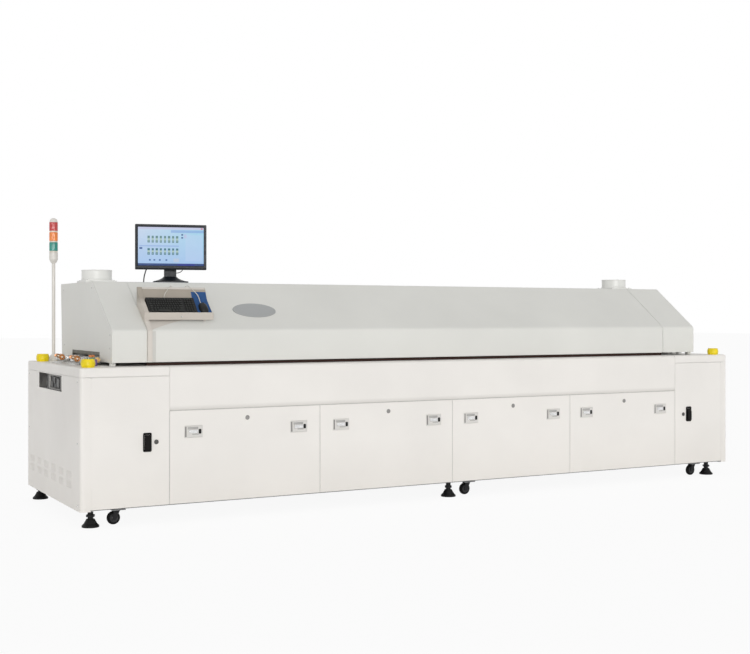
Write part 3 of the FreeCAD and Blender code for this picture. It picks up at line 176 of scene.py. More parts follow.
def lathe(profile: Sequence[Pair], segments: int = 32) -> Surface:
    """A turned form about Z: each radius times the cosine and sine of the turn, at its height.

    Args:
        profile: Radius and height pairs, from the bottom outwards and up.
        segments: Steps round the turn.

    Returns:
        The surface.
    """
    radius, height = np.array(profile, float).T
    turn = np.linspace(0, FULL_TURN, segments, endpoint=False)
    level = np.repeat(height[:, None], segments, axis=1)
    return grid(np.stack([np.outer(radius, np.cos(turn)), np.outer(radius, np.sin(turn)), level], -1), True)


def ring(half: Pair, radius: float, per_corner: int = 4) -> np.ndarray:
    """A rounded rectangle: corner centres, plus the radius times each quarter turn's cosine and sine.

    Args:
        half: Half width and half depth.
        radius: Corner radius.
        per_corner: Points on each corner.

    Returns:
        Points by 2.
    """
    quarter = np.linspace(0, QUARTER_TURN, per_corner)
    turn = (np.arange(4)[:, None] * QUARTER_TURN + quarter).ravel()
    signs = np.repeat([[1, 1], [-1, 1], [-1, -1], [1, -1]], per_corner, axis=0)
    return signs * (np.asarray(half) - radius) + radius * np.stack([np.cos(turn), np.sin(turn)], -1)


def lifted(outline: np.ndarray, height: float) -> np.ndarray:
    """A flat outline at a height."""
    return np.concatenate([outline, np.full((len(outline), 1), height)], axis=1)


def block(half: Pair, levels: Sequence[Pair], radius: float, per_corner: int = 4) -> Surface:
    """A moulded block: rounded rings drawn in by their insets, stacked, and closed at both ends.

    Args:
        half: Half width and half depth.
        levels: Inset and height pairs, from the bottom up.
        radius: Corner radius of the widest ring.
        per_corner: Points on each corner.

    Returns:
        The surface.
    """
    rows = [
        lifted(ring((half[0] - inset, half[1] - inset), max(radius - inset, TINY), per_corner), height)
        for inset, height in levels
    ]
    return capped(np.stack(rows))


def hoop(half: Pair, radius: float, profile: Sequence[Pair], per_corner: int = 4) -> Surface:
    """A closed profile carried round a rounded rectangle.

    Args:
        half: Half width and half depth of the path.
        radius: Corner radius of the path.
        profile: Outward offset and height pairs, round the section.
        per_corner: Points on each corner.

    Returns:
        The surface.
    """
    rows = [
        lifted(ring((half[0] + offset, half[1] + offset), max(radius + offset, TINY), per_corner), height)
        for offset, height in [*profile, profile[0]]
    ]
    return grid(np.stack(rows), True)


def frame_of(inner: np.ndarray, outer: np.ndarray, height: float) -> Surface:
    """A flat frame: walls up from an inner and an outer outline, and the field between their tops.

    Args:
        inner: Points of the inner outline, by 2.
        outer: Points of the outer outline, by 2.
        height: How high it stands.

    Returns:
        The surface.
    """
    rows = ((inner, 0), (inner, height), (outer, height), (outer, 0), (inner, 0))
    return grid(np.stack([lifted(outline, level) for outline, level in rows]), True)


def swept(path: np.ndarray, section: Sequence[Pair]) -> Surface:
    """A closed section carried along a level path.

    Each point is the path's point, plus its left-hand normal times the offset, plus the height.

    Args:
        path: Points by 3, all at one height.
        section: Offset and height pairs, round the section.

    Returns:
        The surface, capped at both ends.
    """
    way = np.gradient(path[:, :2], axis=0)
    way = way / np.linalg.norm(way, axis=1, keepdims=True)
    side = np.stack([-way[:, 1], way[:, 0], 0 * way[:, 0]], -1)
    offset, height = np.array(section).T
    return capped(path[:, None] + side[:, None] * offset[:, None] + np.array([0, 0, 1.0]) * height[:, None])


def oval(half: Pair, levels: Sequence[Pair], segments: int = 64) -> Surface:
    """An oval plate: ellipses drawn in by their insets, stacked, and closed at both ends.

    Args:
        half: Half width and half depth.
        levels: Pairs of inset and height, from the bottom up.
        segments: Steps round the turn.

    Returns:
        The surface.
    """
    turn = np.linspace(0, FULL_TURN, segments, endpoint=False)
    inset, height = np.array([(min(half), levels[0][1]), *levels, (min(half), levels[-1][1])]).T
    across = np.where(inset >= min(half), 0, half[0] - inset)
    along = np.where(inset >= min(half), 0, half[1] - inset)
    level = np.repeat(height[:, None], segments, axis=1)
    return grid(np.stack([np.outer(across, np.cos(turn)), np.outer(along, np.sin(turn)), level], -1), True)


# Finishes


class NodeSheet:
    """A material's nodes, with the few steps that the finishes share."""

    def __init__(self, name: str) -> None:
        """Starts a material with its shader and the piece's own coordinates.

        Args:
            name: The material's name.
        """
        self.material = bpy.data.materials.new(name)
        self.material.use_nodes = True
        self.nodes = self.material.node_tree.nodes
        self.links = self.material.node_tree.links
        self.shader = self.nodes["Principled BSDF"]
        self.place = self.nodes.new("ShaderNodeTexCoord").outputs["Object"]

    def fixed(self, **values: object) -> None:
        """Sets shader sockets that are the same all over; an underscore stands for a space."""
        for name, value in values.items():
            self.shader.inputs[name.replace("_", " ")].default_value = value

    def feed(self, socket: str, source: Socket) -> None:
        """Links a source to one of the shader's sockets."""
        self.links.new(source, self.shader.inputs[socket])

    def stretched(self, stretch: Triple) -> Socket:
        """The coordinates, each multiplied by its own factor.

        Args:
            stretch: Factor along each axis.

        Returns:
            The socket that carries it.
        """
        mapping = self.nodes.new("ShaderNodeMapping")
        mapping.inputs["Scale"].default_value = stretch
        self.links.new(self.place, mapping.inputs["Vector"])
        return mapping.outputs["Vector"]

    def noise(self, scale: float, detail: float = 3, stretch: Triple = (1, 1, 1)) -> Socket:
        """A cloudy value from 0 to 1; scale counts the clouds in a metre.

        Args:
            scale: Clouds in a metre.
            detail: Finer layers.
            stretch: Factor along each axis.

        Returns:
            The socket that carries it.
        """
        cloud = self.nodes.new("ShaderNodeTexNoise")
        cloud.inputs["Scale"].default_value = scale
        cloud.inputs["Detail"].default_value = detail
        self.links.new(self.stretched(stretch), cloud.inputs["Vector"])
        return cloud.outputs[0]

    def dots(self, pitch: float) -> Socket:
        """Distance from a square lattice of points in the flat, in pitches.

        Args:
            pitch: Distance from one to the next.

        Returns:
            The socket that carries it.
        """
        lattice = self.nodes.new("ShaderNodeTexVoronoi")
        lattice.voronoi_dimensions = "2D"
        lattice.inputs["Scale"].default_value = 1 / pitch
        lattice.inputs["Randomness"].default_value = 0
        self.links.new(self.place, lattice.inputs["Vector"])
        return lattice.outputs["Distance"]

    def waves(self, pitch: float, direction: str, profile: str = "SIN") -> Socket:
        """Even waves of a pitch along one axis.

        Args:
            pitch: Distance from one to the next.
            direction: The axis' letter.
            profile: A wave's shape.

        Returns:
            The socket that carries it.
        """
        wave = self.nodes.new("ShaderNodeTexWave")
        wave.wave_type = "BANDS"
        wave.bands_direction = direction
        wave.wave_profile = profile
        wave.inputs["Scale"].default_value = math.pi / 10 / pitch
        self.links.new(self.place, wave.inputs["Vector"])
        return wave.outputs["Fac"]

    def height(self) -> Socket:
        """The height above the floor.

        Returns:
            The socket that carries it.
        """
        split = self.nodes.new("ShaderNodeSeparateXYZ")
        self.links.new(self.place, split.inputs["Vector"])
        return split.outputs["Z"]

    def spread(self, source: Socket, reach: Pair, onto: Pair) -> Socket:
        """A value's reach moved onto another range.

        Args:
            source: The value.
            reach: Its lowest and highest.
            onto: What those two become.

        Returns:
            The socket that carries it.
        """
        spread = self.nodes.new("ShaderNodeMapRange")
        for name, value in zip(("From Min", "From Max", "To Min", "To Max"), (*reach, *onto)):
            spread.inputs[name].default_value = value
        self.links.new(source, spread.inputs["Value"])
        return spread.outputs["Result"]

    def mottled(self, source: Socket, colour: Colour, low: float, high: float) -> Socket:
        """A colour that runs from a darker to a lighter shade as a cloudy value grows."""
        return self.ramp(source, ((0.3, shade(colour, low)), (0.7, shade(colour, high))))

    def varied(self, source: Socket, middle: float, less: float, more: float) -> None:
        """Roughness that runs a little under and over its middle as a cloudy value grows."""
        self.feed("Roughness", self.spread(source, (0.3, 0.7), (middle - less, middle + more)))

    def ramp(self, source: Socket, stops: Sequence[Tuple[float, Colour]]) -> Socket:
        """Colours along a value.

        Args:
            source: The value.
            stops: Pairs of place and colour.

        Returns:
            The socket that carries it.
        """
        ramp = self.nodes.new("ShaderNodeValToRGB")
        marks = ramp.color_ramp.elements
        while len(marks) < len(stops):
            marks.new(1)
        for mark, (where, colour) in zip(marks, stops):
            mark.position = where
            mark.color = (*colour, 1)
        self.links.new(source, ramp.inputs["Fac"])
        return ramp.outputs["Color"]

    def tinted(self, colour: Socket, tint: Union[Colour, Socket], share: Optional[Socket] = None) -> Socket:
        """A colour multiplied by a tint, wholly or by a share.

        Args:
            colour: The colour under it.
            tint: A colour or a socket.
            share: How much of the tint; all of it without one.

        Returns:
            The socket that carries it.
        """
        mix = self.nodes.new("ShaderNodeMix")
        mix.data_type = "RGBA"
        mix.blend_type = "MULTIPLY"
        mix.inputs[0].default_value = 1
        if share is not None:
            self.links.new(share, mix.inputs[0])
        self.links.new(colour, mix.inputs[MIX_FIRST])
        if isinstance(tint, tuple):
            mix.inputs[MIX_SECOND].default_value = (*tint, 1)
        else:
            self.links.new(tint, mix.inputs[MIX_SECOND])
        return mix.outputs[MIX_COLOUR]

    def bump(self, source: Socket, strength: float, depth: float, edge: float = 0) -> None:
        """Relief from a value, over edges softened by a small radius.

        Args:
            source: The value.
            strength: Strength of the relief.
            depth: Height of the relief.
            edge: Radius of softened edges.
        """
        bump = self.nodes.new("ShaderNodeBump")
        bump.inputs["Strength"].default_value = strength
        bump.inputs["Distance"].default_value = depth
        self.links.new(source, bump.inputs["Height"])
        if edge:
            bevel = self.nodes.new("ShaderNodeBevel")
            bevel.inputs["Radius"].default_value = edge
            self.links.new(bevel.outputs["Normal"], bump.inputs["Normal"])
        self.feed("Normal", bump.outputs["Normal"])


def rays_that_see(nodes: bpy.types.Nodes, links: bpy.types.NodeLinks) -> Socket:
    """One for rays of the camera, of gloss and through glass, and nothing for rays of light.

    Args:
        nodes: The sheet's nodes.
        links: The sheet's links.

    Returns:
        The socket that holds the answer.
    """
    path = nodes.new("ShaderNodeLightPath")
    seen = path.outputs["Is Camera Ray"]
    for ray in ("Is Glossy Ray", "Is Transmission Ray"):
        either = nodes.new("ShaderNodeMath")
        either.operation = "MAXIMUM"
        links.new(seen, either.inputs[0])
        links.new(path.outputs[ray], either.inputs[1])
        seen = either.outputs[0]
    return seen


def shade(colour: Colour, factor: float) -> Colour:
    """A colour made lighter or darker."""
    return tuple(min(1.0, part * factor) for part in colour)


@dataclass(frozen=True)
class Finish:
    """A named finish in one colour."""

    name: str
    colour: Colour
    roughness: float = 0.45

    def material(self) -> Material:
        """The finish's material, made once."""
        return bpy.data.materials.get(self.name) or self.mixed()

    def mixed(self) -> Material:
        """Builds the material."""
        raise NotImplementedError


@dataclass(frozen=True)
class PowderCoat(Finish):
    """Sprayed paint with an orange-peel skin, a slow drift of tone and dust near the floor."""

    drift: float = 0.025
    peel: float = 0.1
    edge: float = 0.003
    clouds: float = 1.6

    def tone(self, sheet: NodeSheet) -> Socket:
        """Slow clouds of tone."""
        low, high = shade(self.colour, 1 - self.drift), shade(self.colour, 1 + self.drift)
        return sheet.ramp(sheet.noise(self.clouds, 5), ((0.35, low), (0.65, high)))

    def dust_and_shade_tint(self, sheet: NodeSheet) -> Socket:
        """The tone, dulled by dust that thins out with height."""
        dust = sheet.spread(sheet.height(), (0.10, 0.42), (0.75, 0))
        return sheet.tinted(self.tone(sheet), (0.955, 0.945, 0.93), dust)

    def mixed(self) -> Material:
        """Clouds of tone, dust by height (painted shade by height instead in the height-shaded coat), a fine
        peel and soft sheet edges.

        Returns:
            The material.
        """
        sheet = NodeSheet(self.name)
        sheet.feed("Base Color", self.dust_and_shade_tint(sheet))
        sheet.varied(sheet.noise(9, 4), self.roughness, 0.05, 0.06)
        sheet.bump(sheet.noise(420, 2), self.peel, 0.0004, self.edge)
        return sheet.material


@dataclass(frozen=True)
class HeightShadedCoat(PowderCoat):
    """Sprayed paint with painted shade: a darker tint at each of several heights, such as shade under a
    rolled edge and in a recess.
    """

    # Painted shade along the fascia's lower edge: a fifth darker at 0.655 m, fading out by 0.682 m.
    levels: Tuple[Tuple[float, Colour], ...] = ((0.655, (0.80, 0.795, 0.785)), (0.682, (1, 1, 1)))

    def dust_and_shade_tint(self, sheet: NodeSheet) -> Socket:
        """The tone times the painted-shade tints along the height.

        Args:
            sheet: The material's nodes.

        Returns:
            The socket that carries it.
        """
        foot, head = self.levels[0][0], self.levels[-1][0]
        share = sheet.spread(sheet.height(), (foot, head), (0, 1))
        stops = [((height - foot) / (head - foot), tint) for height, tint in self.levels]
        return sheet.tinted(self.tone(sheet), sheet.ramp(share, stops))


@dataclass(frozen=True)
class Metal(Finish):
    """Bare or plated metal, brushed along the axis that its stretch draws out."""

    brush: Triple = (1, 1, 1)
    grain: float = 160

    def mixed(self) -> Material:
        """Stretched streaks drive tone, roughness and a light relief.

        Returns:
            The material.
        """
        sheet = NodeSheet(self.name)
        streaks = sheet.noise(self.grain, 4, self.brush)
        sheet.fixed(Metallic=1.0)
        sheet.feed("Base Color", sheet.mottled(streaks, self.colour, 0.86, 1.08))
        sheet.varied(streaks, self.roughness, 0.07, 0.09)
        sheet.bump(streaks, 0.08, 0.0002, 0.0012)
        return sheet.material


@dataclass(frozen=True)
class Moulded(Finish):
    """Moulded plastic or rubber with a fine spark-eroded grain."""

    grain: float = 1400
    relief: float = 0.15
    coat: float = 0.0
    gloss: float = 0.5

    def mixed(self) -> Material:
        """Fine grain in the relief and faint handling marks in tone and roughness.

        Returns:
            The material.
        """
        sheet = NodeSheet(self.name)
        marks = sheet.noise(38, 4)
        sheet.fixed(Coat_Weight=self.coat, Coat_Roughness=0.12, Specular_IOR_Level=self.gloss)
        sheet.feed("Base Color", sheet.mottled(marks, self.colour, 0.9, 1.12))
        sheet.varied(marks, self.roughness, 0.06, 0.08)
        sheet.bump(sheet.noise(self.grain, 2), self.relief, 0.0002, 0.0008)
        return sheet.material


@dataclass(frozen=True)
class LampLens(Finish):
    """Clear coloured plastic over a lamp, with vertical streaks of darker and lighter tone."""

    roughness: float = 0.16

    def mixed(self) -> Material:
        """A tinted, partly clear body with vertical streaks of tone and relief.

        Returns:
            The material.
        """
        sheet = NodeSheet(self.name)
        flutes = sheet.noise(260, 3, (1, 1, 0.06))
        sheet.fixed(Transmission_Weight=0.15, IOR=1.5, Coat_Weight=0.35, Roughness=self.roughness,
                    Emission_Color=(*self.colour, 1), Emission_Strength=0.12)
        sheet.feed("Base Color", sheet.mottled(flutes, self.colour, 0.75, 1.15))
        sheet.bump(flutes, 0.1, 0.0003)
        return sheet.material


@dataclass(frozen=True)
class BeltWeave(Finish):
    """Woven steel conveyor mesh: cross rods and the spirals between them."""

    roughness: float = 0.38

    def mixed(self) -> Material:
        """Waves across and along the belt make the weave's light wires and dark gaps.

        Returns:
            The material.
        """
        sheet = NodeSheet(self.name)
        rods = sheet.waves(0.008, "X")
        spirals = sheet.waves(0.006, "Y", "TRI")
        weave = sheet.nodes.new("ShaderNodeMath")
        weave.operation = "MAXIMUM"
        sheet.links.new(rods, weave.inputs[0])
        sheet.links.new(spirals, weave.inputs[1])
        sheet.fixed(Metallic=0.4, Roughness=self.roughness)
        sheet.feed("Base Color", sheet.ramp(weave.outputs[0], (
            (0.35, shade(self.colour, 0.22)), (0.75, self.colour))))
        sheet.bump(weave.outputs[0], 0.6, 0.001)
        return sheet.material


@dataclass(frozen=True)
class NozzlePlate(Finish):
    """Heater sheet, heat-tinted, with its lattice of air holes."""

    pitch: float = 0.018

    def mixed(self) -> Material:
        """Dark round holes on a square pitch over a mottled sheet.

        Returns:
            The material.
        """
        sheet = NodeSheet(self.name)
        tone = sheet.mottled(sheet.noise(14, 5), self.colour, 0.85, 1.1)
        hole = sheet.spread(sheet.dots(self.pitch), (0.2, 0.26), (1, 0))
        sheet.fixed(Metallic=0.9, Roughness=self.roughness)
        sheet.feed("Base Color", sheet.tinted(tone, (0.05, 0.05, 0.05), hole))
        sheet.bump(sheet.dots(self.pitch), 0.3, 0.001)
        return sheet.material


@dataclass(frozen=True)
class LitDisplay(Finish):
    """A lit screen that shows the colours kept on its points."""

    attribute: str = "display"

    def mixed(self) -> Material:
        """The points' colours as light behind a smooth face, with a trace of smears.

        Returns:
            The material.
        """
        sheet = NodeSheet(self.name)
        shown = sheet.nodes.new("ShaderNodeAttribute")
        shown.attribute_name = self.attribute
        sheet.fixed(Base_Color=(*self.colour, 1), Emission_Strength=0.85, Specular_IOR_Level=0.12)
        sheet.feed("Emission Color", shown.outputs["Color"])
        sheet.varied(sheet.noise(30, 3), self.roughness, 0.06, 0.06)
        return sheet.material


@dataclass(frozen=True)
class PalePaper(Finish):
    """The studio's pale floor, which looks white but keeps a soft shadow."""

    glow: float = 0.92

    def mixed(self) -> Material:
        """A matt sheet with a trace of cloudiness, mixed with white for the rays that see it.

        Returns:
            The material.
        """
        sheet = NodeSheet(self.name)
        sheet.fixed(Roughness=self.roughness, Specular_IOR_Level=0.1)
        sheet.feed("Base Color", sheet.mottled(sheet.noise(0.6, 2), self.colour, 0.995, 1))
        white = sheet.nodes.new("ShaderNodeEmission")
        mix = sheet.nodes.new("ShaderNodeMixShader")
        seen = rays_that_see(sheet.nodes, sheet.links)
        sheet.links.new(sheet.spread(seen, (0, 1), (0, self.glow)), mix.inputs["Fac"])
        sheet.links.new(sheet.shader.outputs["BSDF"], mix.inputs[1])
        sheet.links.new(white.outputs["Emission"], mix.inputs[2])
        sheet.links.new(mix.outputs["Shader"], sheet.nodes["Material Output"].inputs["Surface"])
        return sheet.material


CABINET = PowderCoat("cabinet_powder_coat", (0.818, 0.792, 0.755))
SEAM_COAT = PowderCoat("seam_powder_coat", CABINET.colour, edge=0)
# The fascia's coat: painted shade along its lower edge, above the panel seam.
FASCIA_COAT = HeightShadedCoat("fascia_powder_coat", CABINET.colour)
HOOD_COAT = PowderCoat("hood_powder_coat", (0.715, 0.713, 0.675))
# Painted shade by height on the console: a fifth darker from the tray's front lip up across its floor, and
# darker still, to about half, up its recessed riser.
CONSOLE_COAT = HeightShadedCoat("console_powder_coat", (0.66, 0.615, 0.56), clouds=6, levels=(
    (1.175, (1, 1, 1)), (1.195, (0.80, 0.785, 0.76)), (1.285, (0.86, 0.85, 0.83)),
    (1.325, (0.54, 0.515, 0.475))))
CONSOLE_BAND = PowderCoat("console_band_coat", (0.61, 0.60, 0.565))
CONSOLE_EDGE = PowderCoat("console_edge_coat", (0.60, 0.565, 0.52))
FRAME_COAT = PowderCoat("frame_grey_coat", (0.22, 0.225, 0.23), 0.5)
STACK_COAT = PowderCoat("stack_coat", (0.74, 0.74, 0.71), 0.36, 0.02, 0.05)
POLE_COAT = PowderCoat("pole_coat", (0.67, 0.645, 0.60), 0.35, 0.02, 0.05)
CASTER_COAT = Moulded("caster_black_enamel", (0.009, 0.009, 0.010), 0.40, 900, 0.08, 0.0, 0.2)
BADGE_COAT = PowderCoat("plain_badge_coat", (0.36, 0.37, 0.37), 0.34, 0.03, 0.05)
STEEL = Metal("turned_steel", (0.60, 0.60, 0.59), 0.30)
SHEET_STEEL = Metal("brushed_sheet_steel", (0.62, 0.62, 0.61), 0.33, (0.04, 1, 1))
CHROME = Metal("latch_bright_plate", (0.80, 0.80, 0.80), 0.20, (0.15, 1, 1), 220)
LATCH_RIM = PowderCoat("latch_rim_satin", (0.70, 0.68, 0.65), 0.35)
LATCH_FIELD = PowderCoat("latch_field_pale", (0.68, 0.66, 0.63), 0.4)
# Painted shade on the latches: the band over the tongue and the shadow under its free end.
LATCH_BAND_SHADE = PowderCoat("latch_band_painted_shade", (0.42, 0.41, 0.395), 0.45)
# Painted shade: the dark bar down a latch's left edge, for the shade on its recess's side wall.
LATCH_SHADE = PowderCoat("latch_edge_painted_shade", (0.22, 0.21, 0.20), 0.5)
LOCK_STEEL = Metal("lock_dark_steel", (0.11, 0.107, 0.103), 0.36)
ARM_STEEL = Metal("tensioner_arm_steel", (0.20, 0.195, 0.185), 0.45)
PANEL_LOCK = Metal("panel_lock_steel", (0.30, 0.29, 0.28), 0.36)
EDGE_SEAL = Moulded("edge_seal_grey", (0.54, 0.53, 0.51), 0.6)
BRONZE = Metal("chain_wheel_bronze", (0.34, 0.19, 0.09), 0.42, (1, 1, 1), 240)
COPPER = Metal("fitting_copper", (0.62, 0.27, 0.12), 0.34, (1, 1, 1), 240)
BRASS = Metal("turned_brass", (0.72, 0.47, 0.20), 0.28, (1, 1, 1), 240)
ALUMINIUM = Metal("brushed_rail_aluminium", (0.52, 0.52, 0.51), 0.36, (0.02, 1, 1))
BELT = BeltWeave("belt_weave", (0.66, 0.655, 0.63))
# Painted shade: the dark band across the top of the tunnel mouth.
MOUTH_SHADE_BAFFLE = Metal("baffle_painted_shade", (0.13, 0.125, 0.105), 0.42, (1, 1, 0.1))
ZONE = NozzlePlate("zone_nozzle_plate", (0.50, 0.49, 0.47), 0.4)
SEAL = Moulded("seal_red_rubber", (0.035, 0.017, 0.013), 0.7, 1400, 0.15, 0.0, 0.2)
YELLOW = Moulded("guard_yellow_plastic", (0.80, 0.625, 0.008), 0.38, 900, 0.08, 0.08, 0.35)
RED = Moulded("button_red_plastic", (0.55, 0.012, 0.012), 0.28, 900, 0.06, 0.4)
BLACK = Moulded("desk_black_plastic", (0.010, 0.010, 0.010), 0.46, 1400, 0.15, 0.0, 0.25)
BEZEL = Moulded("monitor_black_plastic", (0.010, 0.012, 0.016), 0.36, 1600, 0.12, 0.0, 0.25)
LEVER = Moulded("lever_black_plastic", (0.006, 0.005, 0.005), 0.46, 1400, 0.15, 0.0, 0.12)
TYRE = Moulded("tyre_black", (0.005, 0.005, 0.005), 0.62, 600, 0.25, 0.0, 0.08)
FOOT = Moulded("foot_black", (0.008, 0.008, 0.008), 0.42, 700, 0.15, 0.0, 0.16)
HUB = Moulded("hub_black", (0.014, 0.014, 0.015), 0.34, 1400, 0.15, 0.0, 0.3)
CABLE = Moulded("cable_black_sheath", (0.018, 0.018, 0.018), 0.45, 800, 0.1)
CORD = Moulded("cord_pale_sheath", (0.60, 0.58, 0.53), 0.45, 800, 0.1)
KEYCAP = Moulded("keycap_black", (0.020, 0.021, 0.019), 0.46, 1800, 0.15, 0.0, 0.3)
MOUSE_MAT = Moulded("mouse_mat_blue", (0.03, 0.085, 0.23), 0.8, 2200, 0.4, 0.0, 0.2)
SENSOR_GREEN = Moulded("sensor_green", (0.13, 0.23, 0.16), 0.45)
TERMINAL_ORANGE = Moulded("terminal_orange", (0.62, 0.20, 0.05), 0.42)
VIOLET = Moulded("plug_violet", (0.16, 0.09, 0.26), 0.45)
LENS_RED = LampLens("lens_red", (0.50, 0.02, 0.02))
LENS_AMBER = LampLens("lens_amber", (0.80, 0.22, 0.02))
LENS_GREEN = LampLens("lens_green", (0.0, 0.24, 0.19))
LENS_RING = Moulded("lens_ring_pale", (0.70, 0.64, 0.55), 0.35)
DISPLAY = LitDisplay("lit_display", (0.01, 0.01, 0.012), 0.36)
FLOOR = PalePaper("floor_pale", (0.93, 0.93, 0.93), 0.9)


# Making pieces


def make(
    name: str, surface: Surface, finish: Finish, body: str,
    closed: bool = True, sharp: float = 32, replaces: Sequence[str] = (),
) -> bpy.types.Object:
    """Puts a surface into a mesh, closes its seams and poles, dresses it and lets it ride.

    Args:
        name: The piece's name.
        surface: Its points and faces in the shared frame.
        finish: Its finish.
        body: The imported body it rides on.
        closed: Whether it is a closed form whose faces are turned outwards.
        sharp: Edges above this angle, in degrees, stay crisp.
        replaces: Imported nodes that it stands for.

    Returns:
        The piece's object.
    """
    mesh = bpy.data.meshes.new(name)
    mesh.from_pydata(surface.points.tolist(), [], surface.faces.tolist())
    work = bmesh.new()
    work.from_mesh(mesh)
    bmesh.ops.remove_doubles(work, verts=work.verts, dist=1e-6)
    if closed:
        bmesh.ops.recalc_face_normals(work, faces=work.faces)
    work.to_mesh(mesh)
    work.free()
    mesh.shade_smooth()
    mesh.set_sharp_from_angle(angle=math.radians(sharp))
    mesh.materials.append(finish.material())
    piece = bpy.data.objects.new(name, mesh)
    bpy.context.scene.collection.objects.link(piece)
    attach(piece, body)
    if replaces:
        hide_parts(*replaces)
    LOG.info("piece %s on %s: %d faces", name, body, len(mesh.polygons))
    return piece


def dress(finishes: Dict[str, Finish]) -> None:
    """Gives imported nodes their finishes.

    Args:
        finishes: Each node's finish.
    """
    for name, finish in finishes.items():
        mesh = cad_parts[name].data
        mesh.materials.clear()
        mesh.materials.append(finish.material())
        LOG.info("node %s in %s", name, finish.name)


@dataclass(frozen=True)
class ScrewHead:
    """A low pan head with a round socket."""

    radius: float = 0.0055
    height: float = 0.0028

    def surface(self) -> Surface:
        """A turned head, its socket drawn down into the middle.

        Returns:
            The surface.
        """
        r, h = self.radius, self.height
        return lathe((
            (r, 0), (r, h * 0.35), (r * 0.86, h * 0.78), (r * 0.62, h), (r * 0.42, h),
            (r * 0.38, h * 0.35), (0, h * 0.3)), 12)

    def on(self, facing: Facing, spots: Sequence[Triple]) -> Surface:
        """A head on each spot, facing one way."""
        return self.surface().at(facing.at()).copies(np.array(spots, float))


